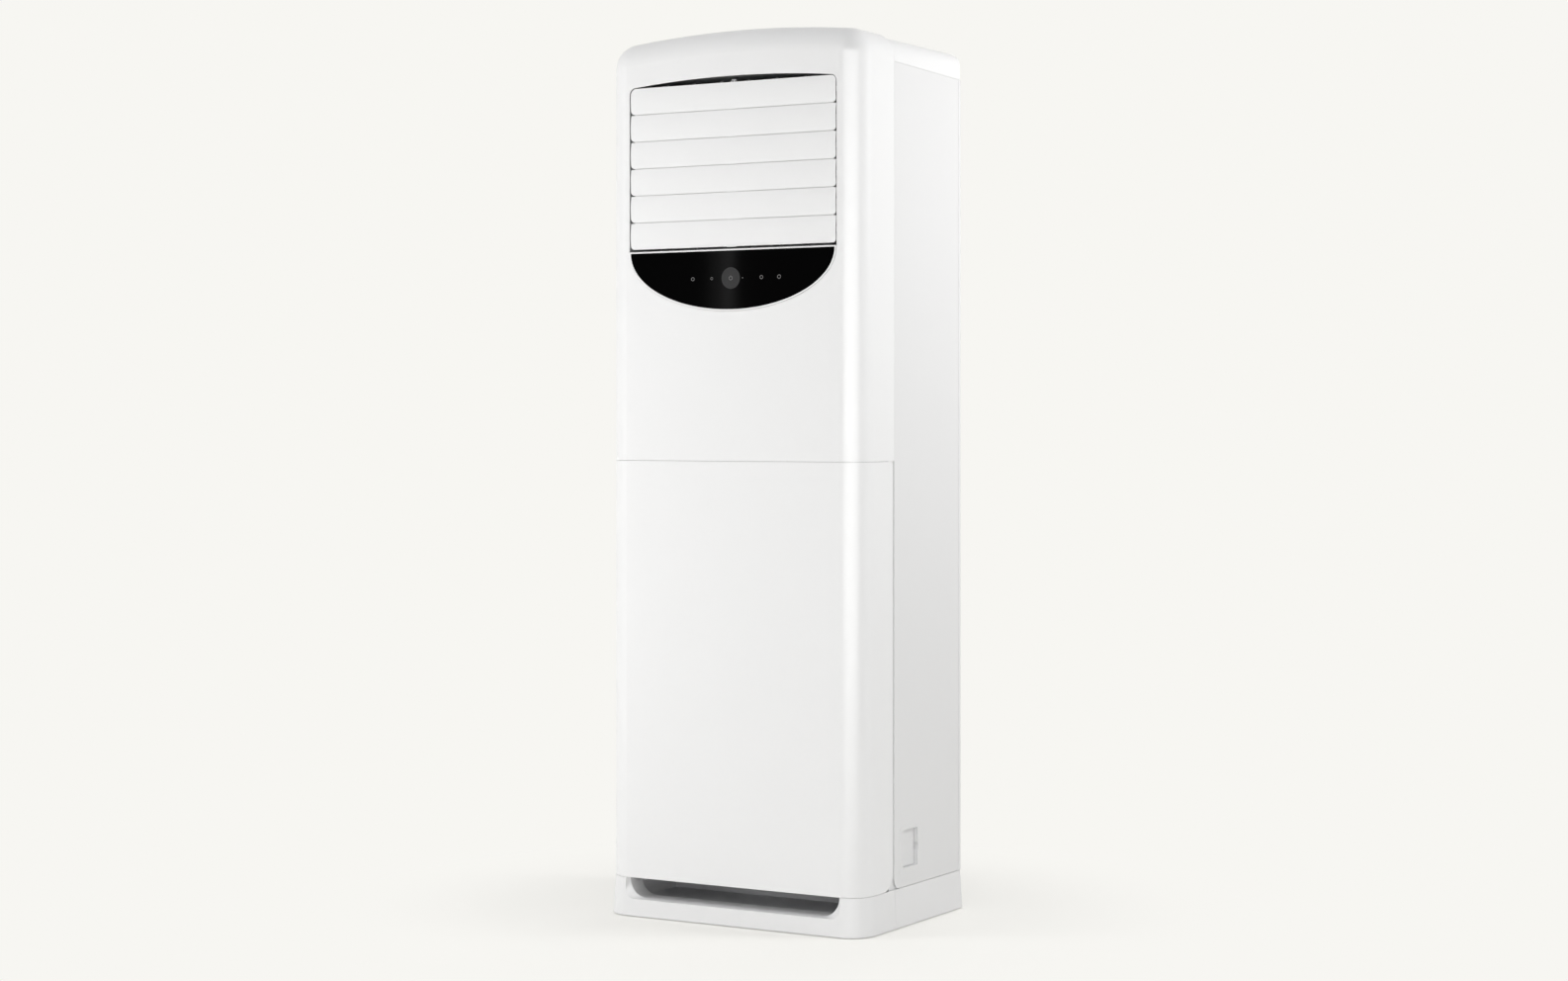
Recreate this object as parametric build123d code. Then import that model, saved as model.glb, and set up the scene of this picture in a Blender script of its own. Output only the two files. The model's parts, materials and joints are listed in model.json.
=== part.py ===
from build123d import *
import os
from math import cos, radians, sin, sqrt

# Floor standing air conditioner, indoor unit, built up from its separate pieces.
#
# Millimetres, +Z up.  The origin is on the floor under the middle of the unit, the front faces -Y
# and +X is the right hand side seen from the front.  Every function makes one piece, or one group
# of like pieces, and save() writes it under its own name.

# ---------------------------------------------------------------- overall cabinet
WIDTH = 600.0
DEPTH = 430.0
CROWN_Z = 1809.0
FRONT_Y = -DEPTH / 2
REAR_Y = DEPTH / 2
SIDE_X = WIDTH / 2

FRONT_SHELL_DEPTH = 137.0
LOWER_PANEL_DEPTH = 131.0
LOWER_PANEL_LOW_R = 38.0
LOWER_PANEL_HIGH_R = 8.75
CORNER_R = 50.0
SHELL_WALL = 3.0
SHELL_LEDGE = 9.0
SPLIT_Z = 936.0
SEAM = 0.6
SEAM_Y = FRONT_Y + FRONT_SHELL_DEPTH
FIT_GAP = 0.3
RUNNING = 0.06
OVER = 1.0

ARCH_R = 2350.0
ARCH_CORNER_R = 53.0

# ---------------------------------------------------------------- base and skirts
BASE_TOP_Z = 79.0
SKIRT_BOTTOM_Z = 2.0
SKIRT_FLARE = 5.0
SKIRT_PROUD = 0.6
SKIRT_WALL = 3.0
SKIRT_LEDGE = 17.0
REAR_CORNER_R = 4.0
FOOT_H = 6.0
FOOT_R = 18.0
FOOT_CHAMFER = 1.5
FOOT_SIDE_INSET = 60.0
FOOT_FRONT_INSET = 65.0
FOOT_REAR_INSET = 50.0
FOOT_X = SIDE_X - FOOT_SIDE_INSET
FOOT_FRONT_Y = FRONT_Y + FOOT_FRONT_INSET
FOOT_REAR_Y = REAR_Y - FOOT_REAR_INSET
BASE_SHEET = 2.5
ANCHOR_R = 5.5
ANCHOR_SIDE_INSET = 100.0
ANCHOR_REAR_INSET = 35.0
ANCHOR_SPACING_Y = 160.0
ANCHOR_X = SIDE_X - ANCHOR_SIDE_INSET
ANCHOR_FAR_Y = REAR_Y - ANCHOR_REAR_INSET
ANCHOR_NEAR_Y = ANCHOR_FAR_Y - ANCHOR_SPACING_Y

SLOT_SIDE_INSET = 48.0
SLOT_HALF_X = SIDE_X - SLOT_SIDE_INSET
SLOT_BOTTOM_Z = 36.5
SLOT_CORNER_R = 16.0
SCOOP_INSET = 6.0
SCOOP_RISE = 2.0
SCOOP_DEPTH = 8.0
SCOOP_CORNER_R = 38.0
TUNNEL_DEPTH = 50.0
TUNNEL_WALL = 2.5
PLENUM_DEPTH = 180.0
PLENUM_DROP = 2.5
PLENUM_RISE = 16.0
PLENUM_FLOOR_Z = SLOT_BOTTOM_Z - PLENUM_DROP
PLENUM_TOP_Z = BASE_TOP_Z + PLENUM_RISE
PLENUM_SHEET = 1.5

# ---------------------------------------------------------------- air filter
FILTER_CLEARANCE = 1.5
FILTER_T = 7.5
FILTER_TOP_GAP = 2.0
FILTER_FRONT_GAP = 3.0
FILTER_FRONT_DEPTH = TUNNEL_DEPTH + FILTER_FRONT_GAP
FILTER_BAR = 9.0
FILTER_RIB = 3.0
FILTER_MESH_T = 0.6
FILTER_RIBS = 7
FILTER_TAB_HALF_X = 22.0
FILTER_TAB_DEPTH = 6.0
FILTER_TAB_T = 4.0
RAIL_W = 11.0

# ---------------------------------------------------------------- chassis
STEEL = 1.5
SHEET = 1.2
COVER_DEPTH = 116.9
COVER_GAP = 0.1
COVER_FRONT_Y = FRONT_Y + COVER_DEPTH
BACK_FACE_Y = REAR_Y - SHEET - FIT_GAP
UPRIGHT_X = SIDE_X - SHELL_WALL - FIT_GAP
UPRIGHT_LEG = 34.0
UPRIGHT_FRONT_Y = COVER_FRONT_Y + STEEL + COVER_GAP
UPRIGHT_FRONT_LEG = 46.0
UPRIGHT_REAR_LEG = 40.0
UPRIGHT_REAR_Y = BACK_FACE_Y - SHEET - FIT_GAP
BASE_SHEET_INSET = 0.7
BASE_SHEET_HALF_X = UPRIGHT_X - BASE_SHEET_INSET
DECK_Z = 700.0
DECK_T = 2.0

# ---------------------------------------------------------------- side, back and top sheets
PANEL_BASE_GAP = 1.0
PANEL_TOP_DROP = 73.0
PANEL_TOP_FALL = 7.0
PANEL_BOTTOM_Z = BASE_TOP_Z + PANEL_BASE_GAP
PANEL_TOP_FRONT_Z = CROWN_Z - PANEL_TOP_DROP
PANEL_TOP_REAR_Z = PANEL_TOP_FRONT_Z - PANEL_TOP_FALL
PANEL_FRONT_CORNER_R = 20.0
PANEL_REAR_CORNER_R = 2.0
PANEL_FIELD_R = 14.0
GROOVE_INSET = 9.0
GROOVE_W = 1.0
GROOVE_DEPTH = 0.5
PANEL_TOP_CORNER_R = 5.0
PANEL_FLANGE = 14.0
UPRIGHT_TOP_GAP = 7.0
UPRIGHT_TOP_Z = PANEL_TOP_REAR_Z - UPRIGHT_TOP_GAP
BEAD_W = 26.0
BEAD_H = 1.3
BEAD_X = 150.0
BEAD_END_R = 12.0
BEAD_LOW_ROOM = 67.5
BEAD_HIGH_ROOM = 72.0

TOP_DROP = 20.0
TOP_FALL = 5.0
TOP_FRONT_Z = CROWN_Z - TOP_DROP
TOP_WALL = 2.5
TOP_EDGE_R = 24.0
TOP_SEAM_EDGE_R = 46.0
TOP_CORNER_R = 5.0

# ---------------------------------------------------------------- service pocket, right side
POCKET_SETBACK = 37.0
POCKET_LENGTH = 62.0
POCKET_RAISE = 37.0
POCKET_H = 77.0
POCKET_FRONT_Y = SEAM_Y + POCKET_SETBACK
POCKET_REAR_Y = POCKET_FRONT_Y + POCKET_LENGTH
POCKET_BOTTOM_Z = PANEL_BOTTOM_Z + POCKET_RAISE
POCKET_TOP_Z = POCKET_BOTTOM_Z + POCKET_H
POCKET_CORNER_R = 4.0
POCKET_DEPTH = 9.0
POCKET_WALL = 1.5
POCKET_RIM = 4.0
NOTCH_R = 9.5
NOTCH_REACH = 3.5
BORDER_W = 14.0
BORDER_H = 0.6
BORDER_CORNER_R = 8.0
FLAP_T = 2.0
FLAP_GAP = 1.6
FLAP_PIN_R = 1.2

# ---------------------------------------------------------------- discharge opening and louvres
OPENING_SIDE = 56.0
OPENING_HEAD = 97.0
OPENING_HALF_X = SIDE_X - OPENING_SIDE
OPENING_TOP_Z = CROWN_Z - OPENING_HEAD
OPENING_CORNER_R = 14.0
OPENING_EDGE_R = 1.2

LOUVRE_COUNT = 6
LOUVRE_PITCH = 55.4
LOUVRE_HEAD_GAP = 11.9
LOUVRE_LOW_Z = OPENING_TOP_Z - LOUVRE_HEAD_GAP - LOUVRE_COUNT * LOUVRE_PITCH
LOUVRE_GAP = 1.7
LOUVRE_SIDE_GAP = 2.5
LOUVRE_HALF_X = OPENING_HALF_X - LOUVRE_SIDE_GAP
LOUVRE_EDGE_DEPTH = 3.5
LOUVRE_BULGE = 2.5
LOUVRE_T = 2.2
LOUVRE_AXIS_DEPTH = 17.0
LOUVRE_PIN_R = 2.5
LOUVRE_CORNER_R = 8.0
LOUVRE_TOP_CORNER_GAP = 2.0
LIP_H = 5.0
LIP_T = 1.6
LIP_STEP = 0.8
LIP_INSET = 7.0
END_TAB_T = 2.5
END_TAB_INSET = 3.0
END_TAB_R = 5.0
CRANK_RISE = 30.0
CRANK_DEPTH = 14.0
CRANK_PIN_R = 1.6
EAR_IN = 2.2
EAR_T = 2.0
EAR_R = 3.5
EAR_ROOT_FROM = 22.0
EAR_ROOT_TO = 5.0
LINK_T = 3.0
LINK_W = 6.0
LINK_END = 4.0
LINK_END_R = 2.8
LINK_SLACK = 0.35
TAB_HALF_X = 11.0
TAB_GAP = 0.5

# ---------------------------------------------------------------- discharge duct and vanes
DUCT_SIDE_GAP = 2.0
DUCT_HALF_X = OPENING_HALF_X + DUCT_SIDE_GAP
DUCT_WALL = 2.5
DUCT_FRONT_DEPTH = 5.8
DUCT_FLOOR_GAP = 5.2
DUCT_HEAD_GAP = 0.5
DUCT_FLOOR_Z = LOUVRE_LOW_Z - DUCT_FLOOR_GAP
DUCT_CEILING_Z = OPENING_TOP_Z + DUCT_HEAD_GAP
DUCT_FLANGE = 10.0
VANE_COUNT = 7
VANE_PITCH = 66.0
VANE_AXIS_DEPTH = 74.0
VANE_CHORD = 36.0
VANE_T = 1.8
VANE_CORNER_R = 3.0
VANE_END_GAP = 3.5
VANE_PIN_R = 2.5
VANE_BOSS_R = 4.0
VANE_CRANK = 14.0
VANE_NOTCH_HALF_X = 5.0
VANE_NOTCH_H = 12.0
VANE_NOTCH_FROM = 6.0
VANE_LINK_T = 3.0
VANE_LINK_W = 6.0

SWING_MOTOR_R = 10.0
SWING_MOTOR_L = 14.0
SWING_PLUG_L = 7.5
SWING_SOCKET_L = 11.0
SWING_EAR_T = 1.5
SWING_EAR_HALF = 4.0
SWING_EAR_REACH = 17.0
VANE_MOTOR_R = 14.0
VANE_MOTOR_L = 18.0
VANE_PLUG_L = 8.0
VANE_SOCKET_L = 9.0
VANE_MOTOR_REACH = 22.0

# ---------------------------------------------------------------- display
DISPLAY_GAP = 7.7
DISPLAY_SIDE_GAP = 4.0
DISPLAY_TOP_Z = LOUVRE_LOW_Z - DISPLAY_GAP
DISPLAY_HALF_X = OPENING_HALF_X - DISPLAY_SIDE_GAP
DISPLAY_DROP = 118.0
BEZEL_W = 3.2
BEZEL_GAP = 0.3
BEZEL_PROUD = 0.8
BEZEL_BAR = 3.0
BEZEL_FLANGE_T = 2.0
BEZEL_LAP = 4.5
BEZEL_FLANGE_REACH = 7.65
LENS_DEPTH = 0.2
LENS_T = 3.0
HOUSING_INSET = 8.0
HOUSING_HEAD = 1.0
HOUSING_DEPTH = 22.0
HOUSING_WALL = 2.0
BUTTON_DROP = 55.5
BUTTON_Z = DISPLAY_TOP_Z - BUTTON_DROP
BUTTON_R = 21.7
BUTTON_GAP = 0.3
BUTTON_TRAVEL = 0.8
BUTTON_FREE_PLAY = 0.2
BUTTON_FLANGE = 2.0
BUTTON_FLANGE_T = 1.4
BUTTON_STEM_R = 3.0
BOARD_T = 1.6
BOARD_DEPTH = 14.0
BOARD_SIDE_INSET = 70.0
BOARD_HEAD_INSET = 14.0
BOARD_H = 78.0
BOARD_FOOT_INSET = 57.8
BOARD_CORNER_R = 2.0
BOARD_HALF_X = DISPLAY_HALF_X - BOARD_SIDE_INSET
BOARD_HIGH_Z = DISPLAY_TOP_Z - BOARD_HEAD_INSET
BOARD_LOW_Z = BOARD_HIGH_Z - BOARD_H
SWITCH_H = 4.0
SWITCH_W = 8.0
LAMP_X = (-90.0, -45.0, 74.0, 115.0)
LAMP_R = 2.7
PLUG_SIDE_INSET = 20.0
PLUG_L = 40.0
PLUG_W = 12.0
PLUG_H = 6.0
PLUG_RAISE = 18.0

# ---------------------------------------------------------------- blower
FAN_DROP = 300.0
FAN_Z = DECK_Z - FAN_DROP
SCROLL_REAR_ROOM = 145.0
SCROLL_DEPTH = 130.0
SCROLL_BACK_Y = REAR_Y - SCROLL_REAR_ROOM
SCROLL_FRONT_Y = SCROLL_BACK_Y - SCROLL_DEPTH
FAN_END_GAP = 16.0
FAN_FRONT_Y = SCROLL_FRONT_Y + FAN_END_GAP
FAN_BACK_Y = SCROLL_BACK_Y - FAN_END_GAP
FAN_R = 150.0
FAN_RING_W = 20.0
FAN_DISC_T = 2.5
FAN_BLADES = 36
FAN_BLADE_T = 1.4
FAN_BLADE_W = 17.0
FAN_BLADE_TURN = 32.0
FAN_HUB_R = 24.0
FAN_HUB_L = 34.0
SHAFT_R = 6.0
SHAFT_NOSE = 6.0
SHAFT_TAIL_GAP = 12.0
SHAFT_NUT_R = 10.0
SHAFT_NUT_L = 5.0
SCROLL_GAP = 35.0
SCROLL_R = FAN_R + SCROLL_GAP
SCROLL_STEP = 22.0
SCROLL_WALL = 2.0
SCROLL_CUTOFF_X = 30.0
SCROLL_CUTOFF_R = 12.0
INLET_OVERLAP = 12.0
INLET_R = FAN_R - FAN_RING_W - INLET_OVERLAP
INLET_LIP = 16.0
INLET_T = 2.0
INLET_MOUTH_R = 1.6
INLET_NECK = 12.0
MOTOR_GAP = 14.0
MOTOR_FRONT_Y = SCROLL_BACK_Y + MOTOR_GAP
MOTOR_R = 68.0
MOTOR_L = 80.0
MOTOR_CHAMFER = 5.0
MOTOR_BOSS_R = 26.0
MOTOR_BOSS_GAP = 5.0
MOTOR_BOSS_ROOM = 1.6
MOTOR_RIBS = 6
MOTOR_RIB_T = 3.0
MOTOR_RIB_H = 4.0
MOTOR_RIB_PITCH = 9.0
MOTOR_RIB_FROM = 16.0
MOTOR_END_WALL = 8.0
MOTOR_FOOT_T = 3.0
BRACKET_HALF = 84.0
BRACKET_CORNER_R = 12.0
BRACKET_ARM_H = 44.0
MOTOR_SCREW_REACH = 50.0

# ---------------------------------------------------------------- risers, then the evaporator
RISER_SIDE_GAP = 9.9
RISER_SPACING = 19.0
RISER_RUN = 17.0
LIQUID_RISER_X = UPRIGHT_X - STEEL - FIT_GAP - RISER_SIDE_GAP
GAS_RISER_X = LIQUID_RISER_X - RISER_SPACING

COIL_ROWS = 2
COIL_TUBES = 11
COIL_TUBE_R = 4.8
COIL_TUBE_PITCH = 42.0
COIL_TUBE_SPACE = 0.2
COIL_TUBE_WALL = 0.6
COIL_BEND_ROOM = 8.0
COIL_END_MARGIN = 30.0
BEND_SLACK = 0.05
END_PLATE_T = 1.5
END_PLATE_LAP = 5.0
COIL_TILT = 24.0
COIL_T = 44.0
COIL_H = (COIL_TUBES - 1) * COIL_TUBE_PITCH + 2 * COIL_END_MARGIN
COIL_HALF_X = GAS_RISER_X - RISER_RUN - COIL_TUBE_PITCH / 2 - COIL_BEND_ROOM
PAN_FRONT_GAP = 4.6
PAN_DEPTH = 80.0
PAN_SIDE = 30.0
PAN_RAISE = 108.0
PAN_H = 30.0
PAN_WALL = 2.0
PAN_LEG_INSET = 6.0
PAN_FRONT_Y = COVER_FRONT_Y + STEEL + PAN_FRONT_GAP
PAN_REAR_Y = PAN_FRONT_Y + PAN_DEPTH
PAN_HALF_X = COIL_HALF_X + PAN_SIDE
PAN_BOTTOM_Z = DECK_Z + PAN_RAISE
PAN_LEG_X = PAN_HALF_X - PAN_LEG_INSET
COIL_HEEL_SETBACK = 39.4
COIL_HEEL_RAISE = 32.75
COIL_Y = PAN_FRONT_Y + COIL_HEEL_SETBACK + COIL_H / 2 * sin(radians(COIL_TILT))
COIL_Z = PAN_BOTTOM_Z + COIL_HEEL_RAISE + COIL_H / 2 * cos(radians(COIL_TILT))

# ---------------------------------------------------------------- pipes and outlets at the back
OUTLET_SIDE = 125.0
OUTLET_RAISE = 66.0
OUTLET_X = SIDE_X - OUTLET_SIDE
OUTLET_Z = BASE_TOP_Z + OUTLET_RAISE
OUTLET_HALF_X = 60.0
OUTLET_HALF_Z = 45.0
OUTLET_CORNER_R = 16.0
GROMMET_LIP = 3.0
PIPE_END_INSET = 10.0
PIPE_END_Y = REAR_Y - PIPE_END_INSET
GAS_R = 7.94
GAS_THREAD_R = 11.1
LIQUID_R = 4.76
LIQUID_THREAD_R = 7.94
GAS_END_OFFSET = 29.0
LIQUID_END_OFFSET = 31.0
PIPE_END_RAISE = 17.0
GAS_END_X = OUTLET_X - GAS_END_OFFSET
LIQUID_END_X = OUTLET_X + LIQUID_END_OFFSET
PIPE_END_Z = OUTLET_Z + PIPE_END_RAISE
RISER_REAR_ROOM = 65.0
RISER_STAGGER = 20.0
LIQUID_RISER_Y = REAR_Y - RISER_REAR_ROOM
GAS_RISER_Y = LIQUID_RISER_Y - RISER_STAGGER
UNION_L = 14.0
PIPE_WALL = 0.9
COLLAR_T = 2.0
PIPE_SET_BACK = 8.0
PIPE_DROP = 60.0
PIPE_FIRST_BEND = 12.0
PIPE_BEND = 20.0
NUT_L = 12.0
NUT_RATIO = 1.2
DRAIN_R = 9.0
DRAIN_WALL = 1.5
DRAIN_BEND = 60.0
DRAIN_LAST_BEND = 40.0
DRAIN_SIDE_INSET = 22.0
DRAIN_FRONT_INSET = 15.0
DRAIN_RUN_Y = 55.0
DRAIN_END_OFFSET = 1.0
DRAIN_END_DROP = 31.0
DRAIN_FALL = 8.0
DRAIN_X = DRAIN_SIDE_INSET - PAN_HALF_X
DRAIN_Y = PAN_FRONT_Y + DRAIN_FRONT_INSET
DRAIN_BACK_Y = PIPE_END_Y - DRAIN_RUN_Y
DRAIN_END_X = OUTLET_X + DRAIN_END_OFFSET
DRAIN_END_Z = OUTLET_Z - DRAIN_END_DROP
GLAND_OFFSET = 105.0
GLAND_X = OUTLET_X - GLAND_OFFSET
GLAND_Z = OUTLET_Z
GLAND_BORE_R = 6.5
GLAND_R = 11.0
GLAND_NUT_R = 15.0
GLAND_NUT_T = 2.5
GLAND_COLLAR_T = 3.0
GLAND_OUT = 3.5
GLAND_IN = 5.1

# ---------------------------------------------------------------- electrical box
BOX_HALF_X = 150.0
BOX_RAISE = 16.0
BOX_H = 190.0
BOX_LOW_Z = DECK_Z + BOX_RAISE
BOX_HIGH_Z = BOX_LOW_Z + BOX_H
BOX_DEPTH = 74.0
BOX_COVER_LAP = 2.0
STANDOFF_H = 8.0
STANDOFF_R = 3.0
STANDOFF_INSET = 15.0
BOARD_EDGE_GAP = 6.0
WIRE_HOLE_R = 11.0
TRANSFORMER = (50.0, 40.0, 46.0)
TRANSFORMER_AT = (12.0, 66.0)
RELAY = (18.0, 16.0, 28.0)
RELAY_PITCH = 26.0
RELAY_AT = (114.0, 60.0)
RELAYS = 4
CAPACITOR_R = 8.0
CAPACITOR_H = 26.0
CAPACITOR_PITCH = 24.0
CAPACITOR_AT = (114.0, 24.0)
CAPACITORS = 3
SOCKET = (11.0, 9.0, 8.0)
SOCKET_PITCH = 15.0
SOCKET_AT = (194.0, 162.0)
SOCKETS = 5
STRIP_HALF_X = 50.0
STRIP_H = 26.0
STRIP_DEPTH = 18.0
STRIP_RAISE = 12.0
STRIP_MOUTH_W = 14.0
STRIP_MOUTH_DEPTH = 10.0
STRIP_MOUTH_H = 9.0
STRIP_PITCH = 20.0
STRIP_SCREW_R = 4.0
STRIP_SCREW_T = 2.0
STRIP_SCREW_RAISE = 17.0
TERMINALS = 5
VENTS = 6
VENT_PITCH = 9.0
VENT_L = 60.0
VENT_W = 4.0
VENT_R = 1.9
VENT_SIDE_INSET = 16.0
VENT_HEAD_INSET = 24.0

# ---------------------------------------------------------------- wall tie points and screws
TIE_HALF_X = 60.0
TIE_DROP = 82.0
TIE_Z = UPRIGHT_TOP_Z - TIE_DROP
TIE_H = 36.0
TIE_T = 2.0
TIE_HOLE_R = 3.2
TIE_SPACING = 80.0
SCREW_HEAD_R = 3.6
SCREW_HEAD_T = 1.7
SCREW_HEAD_ROUND = 1.02
SCREW_R = 1.9
SCREW_HOLE_R = 2.1
SCREW_L = 7.0
SCREW_END_MARGIN = 28.0
BACK_SCREWS = 7


# ================================================================ helpers
def block(x0, x1, y0, y1, z0, z1):
    """Box between two opposite corners."""
    centre = Pos((x0 + x1) / 2, (y0 + y1) / 2, (z0 + z1) / 2)
    return centre * Box(abs(x1 - x0), abs(y1 - y0), abs(z1 - z0))


def rod_x(x0, x1, y, z, radius):
    return Pos((x0 + x1) / 2, y, z) * Rot(Y=90) * Cylinder(radius, abs(x1 - x0))


def rod_y(y0, y1, x, z, radius):
    return Pos(x, (y0 + y1) / 2, z) * Rot(X=90) * Cylinder(radius, abs(y1 - y0))


def rod_z(z0, z1, x, y, radius):
    return Pos(x, y, (z0 + z1) / 2) * Cylinder(radius, abs(z1 - z0))


def rounded(points, radii):
    """Closed face in its own XY plane from corner points, each corner with its own radius."""
    return make_face(FilletPolyline(*points, radius=radii, close=True).edges())


def from_front(face, y0, y1):
    """Extrude a face drawn as seen from the front (x, z) from depth y0 to y1."""
    plane = Plane(origin=(0, y1, 0), x_dir=(1, 0, 0), z_dir=(0, -1, 0))
    return extrude(plane * face, amount=y1 - y0)


def from_side(face, x0, x1):
    """Extrude a face drawn as seen from the right (y, z) from x0 to x1."""
    plane = Plane(origin=(x0, 0, 0), x_dir=(0, 1, 0), z_dir=(1, 0, 0))
    return extrude(plane * face, amount=x1 - x0)


def from_top(face, z0, z1):
    return extrude(Pos(0, 0, z0) * face, amount=z1 - z0)


def rectangle_face(u0, u1, v0, v1, radius=0.0):
    points = [(u0, v0), (u1, v0), (u1, v1), (u0, v1)]
    return rounded(points, [radius] * len(points))


def tube_along(points, radii, outer, inner=0.0):
    """Tube whose middle runs through the points, each bend an arc of the given radius."""
    path = FilletPolyline(*points, radius=radii)
    start = Plane(origin=path @ 0, z_dir=path % 0)
    solid = sweep(start * Circle(outer), path=path)
    if inner:
        solid -= sweep(start * Circle(inner), path=path)
    return solid


def save(node, *pieces):
    """Write one node; its separate solids stay separate."""
    solids = [solid for piece in pieces for solid in piece.solids()]
    whole = solids[0] if len(solids) == 1 else Compound(solids)
    export_step(whole, f"parts/{node}.step")


# ================================================================ front shells
def arch_face(half_x, bottom, top, radius, corner_radius):
    """Front elevation with straight sides and a shallow arched top."""
    drop = radius - sqrt(radius ** 2 - half_x ** 2)
    left, right = (-half_x, top - drop), (half_x, top - drop)
    edges = [
        ThreePointArc(left, (0, top), right),
        Line(right, (half_x, bottom)),
        Line((half_x, bottom), (-half_x, bottom)),
        Line((-half_x, bottom), left),
    ]
    face = make_face(edges)
    top_corners = face.vertices().sort_by(Axis.Y)[-2:]
    return fillet(top_corners, corner_radius)


def upper_shell_solid(inset, bottom, back_y):
    """Solid block of the upper front, drawn in by inset from the outside."""
    face = arch_face(SIDE_X - inset, bottom, CROWN_Z - inset, ARCH_R - inset, ARCH_CORNER_R - inset)
    front = FRONT_Y + inset
    solid = from_front(face, front, back_y)
    rim = solid.faces().sort_by(Axis.Y)[0].edges()
    rounded_rim = [edge for edge in rim if edge.center().Z > bottom + OVER]
    return fillet(rounded_rim, CORNER_R - inset)


def opening_face():
    """Outline of the discharge opening and the display under it, as one hole."""
    upper = arch_face(OPENING_HALF_X, DISPLAY_TOP_Z, OPENING_TOP_Z, ARCH_R, OPENING_CORNER_R)
    return upper + half_moon(OPENING_HALF_X, DISPLAY_DROP + DISPLAY_SIDE_GAP)


def half_moon(half_x, drop, top=DISPLAY_TOP_Z):
    """Lower half of an ellipse, hanging from a straight top edge."""
    bow = EllipticalCenterArc((0, top), half_x, drop, start_angle=180, arc_size=180)
    return make_face([bow, Line((half_x, top), (-half_x, top))])


def upper_front_panel():
    bottom = SPLIT_Z + SEAM / 2
    back = SEAM_Y - SEAM / 2
    shell = upper_shell_solid(0, bottom, back) - upper_shell_solid(SHELL_WALL, bottom - OVER, back + OVER)
    hole = from_front(opening_face(), FRONT_Y - OVER, FRONT_Y + 2 * SHELL_WALL)
    shell = shell - hole
    front_face = shell.faces().sort_by(Axis.Y)[0]
    shell = fillet(front_face.inner_wires()[0].edges(), OPENING_EDGE_R)
    inner = upper_shell_solid(SHELL_WALL, bottom - OVER, back)
    closing = inner & block(-SIDE_X, SIDE_X, back - TOP_WALL, back, UPRIGHT_TOP_Z + STEEL * 2, CROWN_Z)
    ledge = inner & block(-SIDE_X, SIDE_X, FRONT_Y, FRONT_Y + SHELL_LEDGE, bottom, bottom + SHELL_WALL)
    return shell + closing + ledge


def plan_face(half_x, front_y, back_y, front_r, back_r=0.0):
    points = [(-half_x, front_y), (half_x, front_y), (half_x, back_y), (-half_x, back_y)]
    return rounded(points, [front_r, front_r, back_r, back_r])


def lower_front_panel():
    back = FRONT_Y + LOWER_PANEL_DEPTH
    bottom = BASE_TOP_Z + SEAM
    top = SPLIT_Z - SEAM / 2
    outer = from_top(plan_face(SIDE_X, FRONT_Y, back, CORNER_R), bottom, top)
    inner_face = plan_face(SIDE_X - SHELL_WALL, FRONT_Y + SHELL_WALL, back + OVER, CORNER_R - SHELL_WALL)
    shell = outer - from_top(inner_face, bottom - OVER, top + OVER)
    side = rounded(
        [(FRONT_Y - OVER, bottom), (back, bottom), (back, top), (FRONT_Y - OVER, top)],
        [0, LOWER_PANEL_LOW_R, LOWER_PANEL_HIGH_R, 0],
    )
    shell = shell & from_side(side, -SIDE_X - OVER, SIDE_X + OVER)
    fold = inner_face & plan_face(SIDE_X, FRONT_Y, FRONT_Y + SKIRT_LEDGE, 0)
    for z in (bottom, top - SHELL_WALL):
        shell += from_top(fold, z, z + SHELL_WALL)
    return shell


# ================================================================ base
def skirt_solid(inset):
    """The flared base block, drawn in by inset."""
    low = SKIRT_FLARE - inset
    high = SKIRT_PROUD - inset
    faces = []
    for grow, z in ((low, SKIRT_BOTTOM_Z), (high, BASE_TOP_Z)):
        face = plan_face(SIDE_X + grow, FRONT_Y - grow, REAR_Y + grow,
                         CORNER_R + grow, REAR_CORNER_R + grow)
        faces.append(Pos(0, 0, z) * face)
    return loft(faces, ruled=True)


def skirt_ring():
    ring = skirt_solid(0) - skirt_solid(SKIRT_WALL)
    ledge_top = FOOT_H - FIT_GAP
    ledge_low = ledge_top - BASE_SHEET
    ledge = skirt_solid(SKIRT_WALL / 2) & block(-WIDTH, WIDTH, -DEPTH, DEPTH, ledge_low, ledge_top)
    window = from_top(
        plan_face(SIDE_X - SKIRT_LEDGE, FRONT_Y + SKIRT_LEDGE, REAR_Y - SKIRT_LEDGE,
                  CORNER_R - SKIRT_LEDGE), 0, BASE_TOP_Z)
    return ring + (ledge - window)


def slot_face(half_x, bottom, radius):
    top = BASE_TOP_Z + 2 * CORNER_R
    points = [(-half_x, bottom), (half_x, bottom), (half_x, top), (-half_x, top)]
    return rounded(points, [radius, radius, 0, 0])


def tunnel_half_x():
    return SLOT_HALF_X - SCOOP_INSET


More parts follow.
